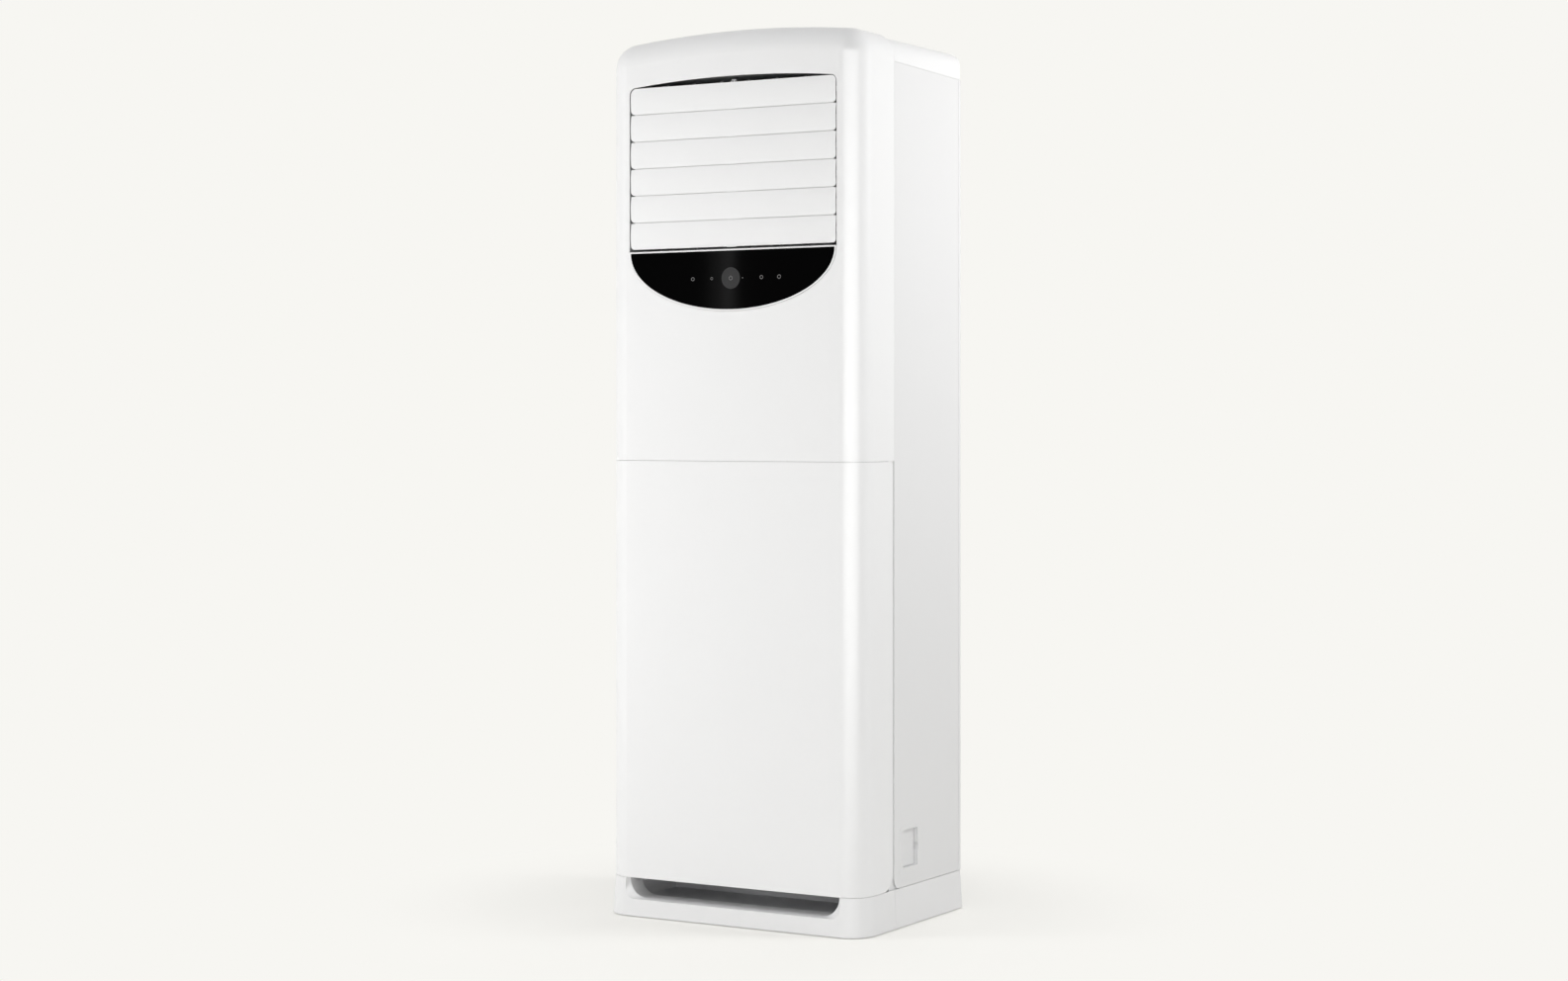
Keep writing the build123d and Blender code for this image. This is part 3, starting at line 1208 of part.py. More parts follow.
def vane(index):
    """Upright blade behind the louvres, on a pin top and bottom."""
    x = vane_axis_x(index)
    y = vane_axis_y()
    low = DUCT_FLOOR_Z + VANE_END_GAP
    high = DUCT_CEILING_Z - VANE_END_GAP
    plate = rectangle_face(y - VANE_CHORD / 2, y + VANE_CHORD / 2, low, high, VANE_CORNER_R)
    blade = from_side(plate, x - VANE_T / 2, x + VANE_T / 2)
    notch_top = low + VANE_NOTCH_H
    blade -= block(x - VANE_NOTCH_HALF_X, x + VANE_NOTCH_HALF_X, y + VANE_NOTCH_FROM, y + VANE_CHORD,
                   low - OVER, notch_top)
    blade += rod_z(low, high, x, y, VANE_T)
    blade += rod_z(DUCT_FLOOR_Z + FIT_GAP, low + OVER, x, y, VANE_BOSS_R)
    blade += rod_z(high - OVER, DUCT_CEILING_Z - FIT_GAP, x, y, VANE_BOSS_R)
    driven = index == 0
    bottom = DUCT_FLOOR_Z - DUCT_WALL - (VANE_PLUG_L if driven else -FIT_GAP)
    blade += rod_z(bottom, low + OVER, x, y, VANE_PIN_R)
    blade += rod_z(high - OVER, DUCT_CEILING_Z + DUCT_WALL - FIT_GAP, x, y, VANE_PIN_R)
    crank_y = y + VANE_CRANK
    blade += rod_z(notch_top - OVER, notch_top + 2 * VANE_T, x, crank_y, VANE_PIN_R)
    return blade + rod_z(low + OVER, notch_top, x, crank_y, CRANK_PIN_R)


def vane_link():
    """Bar across the vanes' cranks, so that they swing together."""
    y = vane_axis_y() + VANE_CRANK
    low = DUCT_FLOOR_Z + VANE_END_GAP + VANE_NOTCH_H / 3
    end = vane_axis_x(VANE_COUNT - 1) + LINK_END
    face = rectangle_face(-end, end, y - VANE_LINK_W / 2, y + VANE_LINK_W / 2, LINK_END_R)
    bar = from_top(face, low, low + VANE_LINK_T)
    for index in range(VANE_COUNT):
        slack = RUNNING if index == 0 else LINK_SLACK
        bar -= rod_z(low - OVER, low + VANE_LINK_T + OVER, vane_axis_x(index), y, CRANK_PIN_R + slack)
    return bar


def vane_motor():
    """Small geared motor under the duct; the first vane's pivot plugs into it."""
    x = vane_axis_x(0)
    y = vane_axis_y()
    top = DUCT_FLOOR_Z - DUCT_WALL - FIT_GAP
    body = rod_z(top - VANE_MOTOR_L, top, x, y, VANE_MOTOR_R)
    ears = block(x - VANE_MOTOR_REACH, x + VANE_MOTOR_REACH, y - SWING_EAR_HALF, y + SWING_EAR_HALF,
                 top - SWING_EAR_T, top)
    return body + ears - rod_z(top - VANE_SOCKET_L, top + OVER, x, y, VANE_PIN_R + RUNNING)


# ================================================================ display
def display_bezel():
    """White rim round the display, with the narrow ledge under the lowest louvre."""
    outer = half_moon(DISPLAY_HALF_X + BEZEL_GAP + BEZEL_W, DISPLAY_DROP + BEZEL_GAP + BEZEL_W)
    inner = half_moon(DISPLAY_HALF_X + BEZEL_GAP, DISPLAY_DROP + BEZEL_GAP)
    half = DISPLAY_HALF_X + BEZEL_GAP + BEZEL_W
    flange_front = FRONT_Y + LENS_DEPTH + LENS_T + BEZEL_GAP / 2
    flange_back = flange_front + BEZEL_FLANGE_T
    front = FRONT_Y - BEZEL_PROUD
    rim = from_front(outer - inner, front, flange_back)
    bar_low = DISPLAY_TOP_Z + BEZEL_GAP
    rim += block(-half, half, front, flange_back, bar_low - BEZEL_GAP, bar_low + BEZEL_BAR) \
        - block(-half + BEZEL_W, half - BEZEL_W, front - OVER, flange_front, 0, bar_low)
    flange_outer = half_moon(DISPLAY_HALF_X + BEZEL_FLANGE_REACH, DISPLAY_DROP + BEZEL_FLANGE_REACH)
    flange_inner = half_moon(DISPLAY_HALF_X - BEZEL_LAP, DISPLAY_DROP - BEZEL_LAP)
    flange = from_front(flange_outer - flange_inner, flange_front, flange_back)
    return rim + flange


def display_lens():
    face = half_moon(DISPLAY_HALF_X, DISPLAY_DROP) - Pos(0, BUTTON_Z) * Circle(BUTTON_R + BUTTON_GAP)
    front = FRONT_Y + LENS_DEPTH
    return from_front(face, front, front + LENS_T)


def power_button():
    """Round push key in the middle of the display."""
    front = FRONT_Y + LENS_DEPTH
    back = front + LENS_T
    flange = back + BUTTON_GAP
    key = rod_y(front, flange, 0, BUTTON_Z, BUTTON_R)
    key += rod_y(flange, flange + BUTTON_FLANGE_T, 0, BUTTON_Z, BUTTON_R + BUTTON_FLANGE)
    tip = FRONT_Y + BOARD_DEPTH - SWITCH_H - BUTTON_TRAVEL - BUTTON_FREE_PLAY
    return key + rod_y(back, tip, 0, BUTTON_Z, BUTTON_STEM_R)


def display_housing():
    """Shallow tub behind the lens that carries the board."""
    front = FRONT_Y + LENS_DEPTH + LENS_T + BEZEL_GAP / 2 + BEZEL_FLANGE_T + FIT_GAP
    back = front + HOUSING_DEPTH
    outer = half_moon(DISPLAY_HALF_X, DISPLAY_DROP, DISPLAY_TOP_Z - HOUSING_HEAD)
    inset = HOUSING_INSET
    tub_face = half_moon(DISPLAY_HALF_X - inset, DISPLAY_DROP - inset, DISPLAY_TOP_Z - inset / 2)
    tub = from_front(tub_face, front, back)
    rim = from_front(outer, front, front + HOUSING_WALL)
    hollow = inset + HOUSING_WALL
    void = half_moon(DISPLAY_HALF_X - hollow, DISPLAY_DROP - hollow, DISPLAY_TOP_Z - hollow)
    tub = tub + rim - from_front(void, front - OVER, back - HOUSING_WALL)
    for x, z in board_screw_places():
        tub += rod_y(FRONT_Y + BOARD_DEPTH + BOARD_T, back - HOUSING_WALL / 2, x, z, STANDOFF_R)
    return tub


def board_screw_places():
    x = BOARD_HALF_X - 4 * STANDOFF_R
    z = BOARD_HIGH_Z - 2 * STANDOFF_R
    low = BUTTON_Z - 2 * SWITCH_W
    return [(-x, z), (x, z), (-x / 2, low), (x / 2, low)]


def display_board():
    """Indicator board with the switch under the key and the lamps under the symbols."""
    front = FRONT_Y + BOARD_DEPTH
    foot_x = BOARD_HALF_X - BOARD_FOOT_INSET
    points = [(-BOARD_HALF_X, BOARD_HIGH_Z), (-BOARD_HALF_X, BUTTON_Z + SWITCH_W), (-foot_x, BOARD_LOW_Z),
              (foot_x, BOARD_LOW_Z), (BOARD_HALF_X, BUTTON_Z + SWITCH_W), (BOARD_HALF_X, BOARD_HIGH_Z)]
    board = from_front(rounded(points, [BOARD_CORNER_R] * len(points)), front, front + BOARD_T)
    board += block(-SWITCH_W / 2, SWITCH_W / 2, front - SWITCH_H, front,
                   BUTTON_Z - SWITCH_W / 2, BUTTON_Z + SWITCH_W / 2)
    for x in LAMP_X:
        board += rod_y(front - SWITCH_H, front, x, BUTTON_Z, LAMP_R)
    plug_x = BOARD_HALF_X - PLUG_SIDE_INSET
    plug_z = BUTTON_Z + PLUG_RAISE
    return board + block(plug_x - PLUG_L, plug_x, front - PLUG_H, front, plug_z, plug_z + PLUG_W)


# ================================================================ blower
def scroll_face(inset=0.0):
    first, second, third, right = scroll_points()
    r1 = SCROLL_R - inset
    r2 = r1 + SCROLL_STEP
    r3 = r2 + SCROLL_STEP
    top = DECK_Z - FIT_GAP + inset
    crown = first[1] + r1
    cut = SCROLL_CUTOFF_X + inset
    bend = SCROLL_CUTOFF_R + inset
    d = sqrt(0.5)
    wall_x = right - inset
    edges = [
        Line((cut, top), (cut, crown + bend)),
        ThreePointArc((cut, crown + bend), (cut - bend * (1 - d), crown + bend * (1 - d)),
                      (cut - bend, crown)),
        Line((cut - bend, crown), (first[0], crown)),
        ThreePointArc((first[0], crown), (first[0] - r1 * d, first[1] + r1 * d), (first[0] - r1, first[1])),
        ThreePointArc((second[0] - r2, second[1]), (second[0] - r2 * d, second[1] - r2 * d),
                      (second[0], second[1] - r2)),
        ThreePointArc((third[0], third[1] - r3), (third[0] + r3 * d, third[1] - r3 * d),
                      (third[0] + r3, third[1])),
        Line((wall_x, third[1]), (wall_x, top)),
        Line((wall_x, top), (cut, top)),
    ]
    return make_face(edges)


def scroll_casing():
    """Volute of the centrifugal blower, blowing up through the deck."""
    casing = from_front(scroll_face(), SCROLL_FRONT_Y, SCROLL_BACK_Y)
    hollow = from_front(scroll_face(SCROLL_WALL), SCROLL_FRONT_Y + SCROLL_WALL, SCROLL_BACK_Y - SCROLL_WALL)
    casing -= hollow
    middle_y = (SCROLL_FRONT_Y + SCROLL_BACK_Y) / 2
    casing -= rod_y(SCROLL_FRONT_Y - OVER, middle_y, 0, FAN_Z, INLET_R + SCROLL_WALL)
    return casing - rod_y(middle_y, SCROLL_BACK_Y + OVER, 0, FAN_Z, MOTOR_BOSS_R + MOTOR_BOSS_ROOM)


def inlet_ring():
    """Bell mouth of the blower: a lip on the casing's face and a neck into the wheel."""
    lip_y = SCROLL_FRONT_Y - INLET_T
    lip = rod_y(lip_y, SCROLL_FRONT_Y, 0, FAN_Z, INLET_R + INLET_LIP)
    neck = rod_y(lip_y, SCROLL_FRONT_Y + INLET_NECK, 0, FAN_Z, INLET_R + INLET_T - FIT_GAP)
    ring = lip + neck - rod_y(lip_y - OVER, FAN_BACK_Y, 0, FAN_Z, INLET_R)
    front = ring.edges().filter_by(GeomType.CIRCLE).group_by(Axis.Y)[0]
    return fillet(front.sort_by(SortBy.RADIUS)[0], INLET_MOUTH_R)


def fan_wheel():
    """Centrifugal wheel: back disc, front ring and a ring of forward-leaning blades."""
    disc = rod_y(FAN_BACK_Y - FAN_DISC_T, FAN_BACK_Y, 0, FAN_Z, FAN_R)
    hub = rod_y(FAN_BACK_Y - FAN_HUB_L, FAN_BACK_Y, 0, FAN_Z, FAN_HUB_R)
    ring = rod_y(FAN_FRONT_Y, FAN_FRONT_Y + FAN_DISC_T, 0, FAN_Z, FAN_R)
    ring -= rod_y(FAN_FRONT_Y - OVER, FAN_BACK_Y, 0, FAN_Z, FAN_R - FAN_RING_W)
    blade_y = (FAN_FRONT_Y + FAN_BACK_Y) / 2
    blade = Box(FAN_BLADE_T, FAN_BACK_Y - FAN_FRONT_Y - FAN_DISC_T, FAN_BLADE_W)
    blades = []
    for index in range(FAN_BLADES):
        turn = 360.0 * index / FAN_BLADES
        spoke = Pos(0, blade_y, FAN_Z) * Rot(Y=turn) * Pos(0, 0, FAN_R - FAN_RING_W / 2)
        blades.append(spoke * Rot(Y=FAN_BLADE_TURN) * blade)
    wheel = disc.fuse(hub, ring, *blades)
    return wheel - rod_y(FAN_FRONT_Y, FAN_BACK_Y + OVER, 0, FAN_Z, SHAFT_R + RUNNING / 2)


def motor_shaft():
    """Shaft through the wheel's hub, with the nut that holds the wheel on it."""
    hub_y = FAN_BACK_Y - FAN_HUB_L
    shaft = rod_y(hub_y - SHAFT_NOSE, MOTOR_FRONT_Y + MOTOR_L - SHAFT_TAIL_GAP, 0, FAN_Z, SHAFT_R)
    nut = Pos(0, hub_y - FIT_GAP, FAN_Z) * Rot(X=90) * extrude(RegularPolygon(SHAFT_NUT_R, 6), SHAFT_NUT_L)
    return shaft + nut


def fan_motor():
    """Motor with a finned middle, an end boss towards the wheel and a rear mounting face."""
    back = MOTOR_FRONT_Y + MOTOR_L
    body = rod_y(MOTOR_FRONT_Y, back, 0, FAN_Z, MOTOR_R)
    body = chamfer(body.edges().filter_by(GeomType.CIRCLE), MOTOR_CHAMFER)
    boss_front = FAN_BACK_Y + MOTOR_BOSS_GAP
    body += rod_y(boss_front, MOTOR_FRONT_Y + OVER, 0, FAN_Z, MOTOR_BOSS_R)
    for index in range(MOTOR_RIBS):
        y = MOTOR_FRONT_Y + MOTOR_RIB_FROM + index * MOTOR_RIB_PITCH
        body += rod_y(y, y + MOTOR_RIB_T, 0, FAN_Z, MOTOR_R + MOTOR_RIB_H)
    for x, z in motor_screw_places():
        body -= rod_y(back - SCREW_L, back + OVER, x, z, SCREW_HOLE_R)
    return body - rod_y(boss_front - OVER, back - MOTOR_END_WALL, 0, FAN_Z, SHAFT_R + RUNNING)


def motor_bracket():
    """Pressed bracket between the rear posts that the motor is bolted to."""
    y0 = MOTOR_FRONT_Y + MOTOR_L
    y1 = y0 + MOTOR_FOOT_T
    half = chamber_half_x()
    plate = rectangle_face(-BRACKET_HALF, BRACKET_HALF, FAN_Z - BRACKET_HALF, FAN_Z + BRACKET_HALF,
                           BRACKET_CORNER_R)
    bracket = from_front(plate, y0, y1)
    bracket += block(-half, half, y0, y1, FAN_Z - BRACKET_ARM_H / 2, FAN_Z + BRACKET_ARM_H / 2)
    for side in (-1, 1):
        bracket += block(side * half, side * (half - MOTOR_FOOT_T), y0, REAR_Y - SCREW_L - FIT_GAP,
                         FAN_Z - BRACKET_ARM_H / 2, FAN_Z + BRACKET_ARM_H / 2)
    bracket -= rod_y(y0 - OVER, y1 + OVER, 0, FAN_Z, SHAFT_R * 2)
    for x, z in motor_screw_places():
        bracket -= rod_y(y0 - OVER, y1 + OVER, x, z, SCREW_HOLE_R)
    return bracket


def motor_screw_places():
    reach = MOTOR_SCREW_REACH * sqrt(0.5)
    return [(sx * reach, FAN_Z + sz * reach) for sx in (-1, 1) for sz in (-1, 1)]


# ================================================================ evaporator
def coil_place():
    return Pos(0, COIL_Y, COIL_Z) * Rot(X=-COIL_TILT)


def coil_row_y(row):
    return (row - (COIL_ROWS - 1) / 2) * COIL_T / COIL_ROWS


def coil_tube_z(index):
    return (index - (COIL_TUBES - 1) / 2) * COIL_TUBE_PITCH


def coil_holes(x0, x1):
    return [rod_x(x0, x1, coil_row_y(row), coil_tube_z(index), COIL_TUBE_R + COIL_TUBE_SPACE)
            for row in range(COIL_ROWS) for index in range(COIL_TUBES)]


def coil_fins():
    """Fin pack of the evaporator, bored for its tubes."""
    pack = Box(2 * COIL_HALF_X, COIL_T, COIL_H)
    return coil_place() * pack.cut(*coil_holes(-COIL_HALF_X - OVER, COIL_HALF_X + OVER))


def coil_end_plates():
    """Steel end plates; each has a foot that stands in the drain pan."""
    plates = []
    for side in (-1, 1):
        x0 = side * (COIL_HALF_X + FIT_GAP)
        x1 = x0 + side * END_PLATE_T
        plate = block(x0, x1, -COIL_T / 2 - END_PLATE_LAP, COIL_T / 2 + END_PLATE_LAP,
                      -COIL_H / 2 - END_PLATE_LAP, COIL_H / 2 + END_PLATE_LAP)
        plate = coil_place() * plate.cut(*coil_holes(min(x0, x1) - OVER, max(x0, x1) + OVER))
        heel_z = COIL_Z - COIL_H / 2 * cos(radians(COIL_TILT))
        heel_y = COIL_Y - COIL_H / 2 * sin(radians(COIL_TILT))
        foot = block(x0, x1, heel_y - COIL_T / 4, heel_y + COIL_T / 4, pan_floor_z() + FIT_GAP, heel_z)
        plates.append(plate + foot)
    return plates


def coil_end_x():
    return COIL_HALF_X + COIL_BEND_ROOM + COIL_TUBE_PITCH / 2


def coil_tubes():
    """One serpentine tube: up through the front row, over, and down through the rear row."""
    rows = [(0, index) for index in range(COIL_TUBES)]
    rows += [(1, index) for index in reversed(range(COIL_TUBES))]
    points = []
    side = 1
    for row, index in rows:
        y = coil_row_y(row)
        z = coil_tube_z(index)
        points += [(side * coil_end_x(), y, z), (-side * coil_end_x(), y, z)]
        side = -side
    radii = [COIL_TUBE_PITCH / 2 - BEND_SLACK] * (len(points) - 2)
    crossing = 2 * COIL_TUBES - 2
    for corner in (crossing, crossing + 1):
        radii[corner] = COIL_T / COIL_ROWS / 2 - BEND_SLACK
    return coil_place() * tube_along(points, radii, COIL_TUBE_R, COIL_TUBE_R - COIL_TUBE_WALL)


def pan_floor_z():
    return PAN_BOTTOM_Z + PAN_WALL


def drain_pan():
    """Trough under the coil, with a spout at its left end and two folded legs on the deck."""
    top = PAN_BOTTOM_Z + PAN_H
    pan = block(-PAN_HALF_X, PAN_HALF_X, PAN_FRONT_Y, PAN_REAR_Y, PAN_BOTTOM_Z, top)
    pan -= block(-PAN_HALF_X + PAN_WALL, PAN_HALF_X - PAN_WALL, PAN_FRONT_Y + PAN_WALL,
                 PAN_REAR_Y - PAN_WALL, pan_floor_z(), top + OVER)
    spout_r = DRAIN_R - DRAIN_WALL - FIT_GAP
    pan += rod_z(PAN_BOTTOM_Z - 3 * PAN_WALL, PAN_BOTTOM_Z, DRAIN_X, DRAIN_Y, spout_r)
    for side in (-1, 1):
        x = side * PAN_LEG_X
        low = DECK_Z + DECK_T
        pan += block(x, x + side * STEEL, PAN_FRONT_Y + PAN_WALL, PAN_REAR_Y, low, PAN_BOTTOM_Z)
        pan += block(x, x + side * PANEL_FLANGE, PAN_FRONT_Y + PAN_WALL, PAN_REAR_Y, low, low + STEEL)
    return pan - rod_z(PAN_BOTTOM_Z - 4 * PAN_WALL, top, DRAIN_X, DRAIN_Y, spout_r - DRAIN_WALL)


def drain_hose():
    """Hose from the pan's spout to the outlet at the back, falling all the way."""
    points = [
        (DRAIN_X, DRAIN_Y, PAN_BOTTOM_Z - FIT_GAP),
        (DRAIN_X, DRAIN_Y, DRAIN_END_Z + DRAIN_FALL),
        (DRAIN_X, DRAIN_BACK_Y, DRAIN_END_Z + DRAIN_FALL * 3 / 4),
        (DRAIN_END_X, DRAIN_BACK_Y, DRAIN_END_Z),
        (DRAIN_END_X, PIPE_END_Y, DRAIN_END_Z),
    ]
    return tube_along(points, [DRAIN_BEND, DRAIN_BEND, DRAIN_LAST_BEND], DRAIN_R, DRAIN_R - DRAIN_WALL)


def riser(end_x, riser_x, riser_y, row, radius, thread_r):
    """Copper pipe from one row's last bend down past the blower, ending in its brass union."""
    origin = (coil_place() * Pos(coil_end_x(), coil_row_y(row), coil_tube_z(0))).position
    turn_y = riser_y - PIPE_SET_BACK
    points = [
        (origin.X, origin.Y, origin.Z),
        (riser_x, origin.Y, origin.Z),
        (riser_x, riser_y, origin.Z - PIPE_DROP),
        (riser_x, riser_y, PIPE_END_Z),
        (end_x, turn_y, PIPE_END_Z),
        (end_x, PIPE_END_Y - UNION_L, PIPE_END_Z),
    ]
    pipe = tube_along(points, [PIPE_FIRST_BEND, PIPE_BEND, PIPE_BEND, PIPE_BEND], radius, radius - PIPE_WALL)
    collar = rod_x(origin.X, origin.X + COLLAR_T, origin.Y, origin.Z, radius)
    collar -= rod_x(origin.X - OVER, origin.X + COLLAR_T + OVER, origin.Y, origin.Z,
                    COIL_TUBE_R - COIL_TUBE_WALL)
    union_y = PIPE_END_Y - UNION_L
    nut = extrude(RegularPolygon(thread_r * NUT_RATIO, 6), NUT_L)
    hexagon = Pos(end_x, union_y, PIPE_END_Z) * Rot(X=90) * nut
    spigot = rod_y(union_y - OVER, PIPE_END_Y, end_x, PIPE_END_Z, thread_r)
    bore = rod_y(union_y - NUT_L, PIPE_END_Y + OVER, end_x, PIPE_END_Z, radius - PIPE_WALL)
    return pipe + collar + (hexagon + spigot - bore)


# ================================================================ electrical box
def box_front_y():
    return COVER_FRONT_Y - FIT_GAP - BOX_DEPTH


def control_box():
    back = COVER_FRONT_Y - FIT_GAP
    front = box_front_y()
    box = block(-BOX_HALF_X, BOX_HALF_X, front, back, BOX_LOW_Z, BOX_HIGH_Z)
    box -= block(-BOX_HALF_X + SHEET, BOX_HALF_X - SHEET, front - OVER, back - SHEET,
                 BOX_LOW_Z + SHEET, BOX_HIGH_Z - SHEET)
    for x, z in standoff_places():
        box += rod_y(back - SHEET - STANDOFF_H, back - SHEET / 2, x, z, STANDOFF_R)
    for x in (-BOX_HALF_X / 2, BOX_HALF_X / 2):
        box -= rod_z(BOX_LOW_Z - OVER, BOX_LOW_Z + 2 * SHEET, x, front + BOX_DEPTH / 2, WIRE_HOLE_R)
    return box


def standoff_places():
    x = BOX_HALF_X - STANDOFF_INSET
    z_low = BOX_LOW_Z + STANDOFF_INSET
    z_high = BOX_HIGH_Z - STANDOFF_INSET
    return [(-x, z_low), (x, z_low), (-x, z_high), (x, z_high)]


def on_board(size, at, front, shift=0.0):
    """Box of width, height off the board and length upwards, at a place from the board's low left corner."""
    width, height, length = size
    x = at[0] - BOX_HALF_X + BOARD_EDGE_GAP + shift
    z = at[1] + BOX_LOW_Z + BOARD_EDGE_GAP
    return block(x, x + width, front - height, front, z, z + length)


def main_board():
    """Control board: transformer, relays, capacitors, connectors and the supply terminals."""
    back = COVER_FRONT_Y - FIT_GAP - SHEET - STANDOFF_H
    front = back - BOARD_T
    edge = BOX_HALF_X - BOARD_EDGE_GAP
    low = BOX_LOW_Z + BOARD_EDGE_GAP
    high = BOX_HIGH_Z - BOARD_EDGE_GAP
    board = block(-edge, edge, front, back, low, high)
    board += on_board(TRANSFORMER, TRANSFORMER_AT, front)
    for index in range(RELAYS):
        board += on_board(RELAY, RELAY_AT, front, index * RELAY_PITCH)
    for index in range(CAPACITORS):
        x = CAPACITOR_AT[0] - edge + index * CAPACITOR_PITCH
        board += rod_y(front - CAPACITOR_H, front, x, high - CAPACITOR_AT[1], CAPACITOR_R)
    for index in range(SOCKETS):
        board += on_board(SOCKET, SOCKET_AT, front, index * SOCKET_PITCH)
    strip_low = low + STRIP_RAISE
    board += block(-STRIP_HALF_X, STRIP_HALF_X, front - STRIP_DEPTH, front, strip_low, strip_low + STRIP_H)
    face = front - STRIP_DEPTH
    for index in range(TERMINALS):
        x = (index - (TERMINALS - 1) / 2) * STRIP_PITCH
        board -= block(x - STRIP_MOUTH_W / 2, x + STRIP_MOUTH_W / 2, face - OVER, face + STRIP_MOUTH_DEPTH,
                       strip_low - OVER, strip_low + STRIP_MOUTH_H)
        board += rod_y(face - STRIP_SCREW_T, face + OVER, x, strip_low + STRIP_SCREW_RAISE, STRIP_SCREW_R)
    return board


def control_cover():
    """Flat lid of the electrical box with its vents."""
    front = box_front_y()
    lap = BOX_COVER_LAP
    cover = block(-BOX_HALF_X - lap, BOX_HALF_X + lap, front - SHEET - FIT_GAP, front - FIT_GAP,
                  BOX_LOW_Z - lap, BOX_HIGH_Z + lap)
    right = BOX_HALF_X - VENT_SIDE_INSET
    for index in range(VENTS):
        z = BOX_HIGH_Z - VENT_HEAD_INSET - index * VENT_PITCH
        vent = rectangle_face(right - VENT_L, right, z, z + VENT_W, VENT_R)
        cover -= from_front(vent, front - 2 * SHEET, front + OVER)
    return cover


# ================================================================ screws
def screw(x, y, z):
    """Pan head screw driven in from the back, its head resting on depth y."""
    head = rod_y(y, y + SCREW_HEAD_T, x, z, SCREW_HEAD_R)
    head = fillet(head.edges().filter_by(GeomType.CIRCLE).sort_by(Axis.Y)[-1], SCREW_HEAD_ROUND)
    return head + rod_y(y - SCREW_L, y, x, z, SCREW_R)


def screws():
    back = [screw(x, REAR_Y, z) for x, z in back_screw_places()]
    bracket_y = MOTOR_FRONT_Y + MOTOR_L + MOTOR_FOOT_T
    return back + [screw(x, bracket_y, z) for x, z in motor_screw_places()]


# ================================================================ the whole unit
def main():
    os.makedirs("parts", exist_ok=True)
    save("upper_front_panel", upper_front_panel())
    save("lower_front_panel", lower_front_panel())
    save("front_skirt", front_skirt())
    save("rear_skirt", rear_skirt())
    save("base_plate", base_plate())
    save("rubber_feet", *rubber_feet())
    save("intake_plenum", intake_plenum())
    save("air_filter", air_filter())
    save("uprights", *uprights())
    save("roof_plate", roof_plate())
    save("blower_deck", blower_deck())
    save("coil_cover", coil_cover())
    save("left_side_panel", side_panel(-1))
    save("right_side_panel", right_side_panel())
    save("service_pocket", service_pocket())
    save("service_flap", service_flap())
    save("back_panel", back_panel())
    save("outlet_grommet", outlet_grommet())
    save("cable_gland", cable_gland())
    save("top_cover", top_cover())
    for index in range(LOUVRE_COUNT):
        save(f"louvre_{index + 1}", louvre(index))
    save("louvre_link", louvre_link())
    save("discharge_duct", discharge_duct())
    for index in range(VANE_COUNT):
        save(f"vane_{index + 1}", vane(index))
    save("vane_link", vane_link())
    save("swing_motors", louvre_motor(), vane_motor())
    save("display_bezel", display_bezel())
    save("display_lens", display_lens())
    save("power_button", power_button())
    save("display_housing", display_housing())
    save("display_board", display_board())
    save("scroll_casing", scroll_casing())
    save("inlet_ring", inlet_ring())
    save("fan_wheel", fan_wheel())
    save("motor_shaft", motor_shaft())
    save("fan_motor", fan_motor())
    save("motor_bracket", motor_bracket())
    save("coil_fins", coil_fins())
    save("coil_end_plates", *coil_end_plates())
    save("coil_tubes", coil_tubes())
    save("drain_pan", drain_pan())
    save("drain_hose", drain_hose())
    save("gas_pipe", riser(GAS_END_X, GAS_RISER_X, GAS_RISER_Y, 1, GAS_R, GAS_THREAD_R))
    save("liquid_pipe",
         riser(LIQUID_END_X, LIQUID_RISER_X, LIQUID_RISER_Y, 0, LIQUID_R, LIQUID_THREAD_R))
    save("control_box", control_box())
    save("main_board", main_board())
    save("control_cover", control_cover())
    save("screws", *screws())


if __name__ == "__main__":
    main()
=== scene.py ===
"""Floor standing air conditioner: looks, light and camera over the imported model."""
import bpy
import bmesh
import json
import math
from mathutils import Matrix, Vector


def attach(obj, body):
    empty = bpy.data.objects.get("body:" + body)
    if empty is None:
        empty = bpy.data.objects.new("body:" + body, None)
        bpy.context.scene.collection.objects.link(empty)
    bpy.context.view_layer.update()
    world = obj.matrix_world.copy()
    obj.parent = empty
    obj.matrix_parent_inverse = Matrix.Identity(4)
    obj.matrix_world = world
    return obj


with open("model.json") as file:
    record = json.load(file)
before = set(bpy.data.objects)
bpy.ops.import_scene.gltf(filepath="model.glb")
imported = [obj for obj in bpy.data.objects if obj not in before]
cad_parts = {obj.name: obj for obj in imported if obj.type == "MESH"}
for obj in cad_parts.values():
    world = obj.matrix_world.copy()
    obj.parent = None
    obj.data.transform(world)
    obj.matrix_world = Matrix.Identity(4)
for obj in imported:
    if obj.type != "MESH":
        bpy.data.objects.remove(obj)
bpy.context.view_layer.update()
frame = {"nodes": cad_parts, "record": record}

# ------------------------------------------------------------------ places, in metres
FRONT_Y = -0.215
LENS_Y = FRONT_Y + 0.0002
KEY_Z = 1.3045
MARK_Y = LENS_Y - 0.00008
MARK_THICKNESS = 0.00012
FLOOR_Z = -0.0004
FLOOR_RINGS = (0.02, 0.6, 1.2, 2.4, 5, 12, 40)
FLOOR_RING_STEP = 6
FULL_TURN = 360

# Each mark left and right of the key: its name, place along x and radius.
DISPLAY_MARKS = (
    ("mark_far_left", -0.0900, 0.0040),
    ("mark_left", -0.0450, 0.0030),
    ("mark_dot", 0.0280, 0.0012),
    ("mark_right", 0.0720, 0.0040),
    ("mark_far_right", 0.1130, 0.0042),
)
DOT_RADIUS = 0.002
RING_BORE = 0.68
DOT_BORE = 0.0002

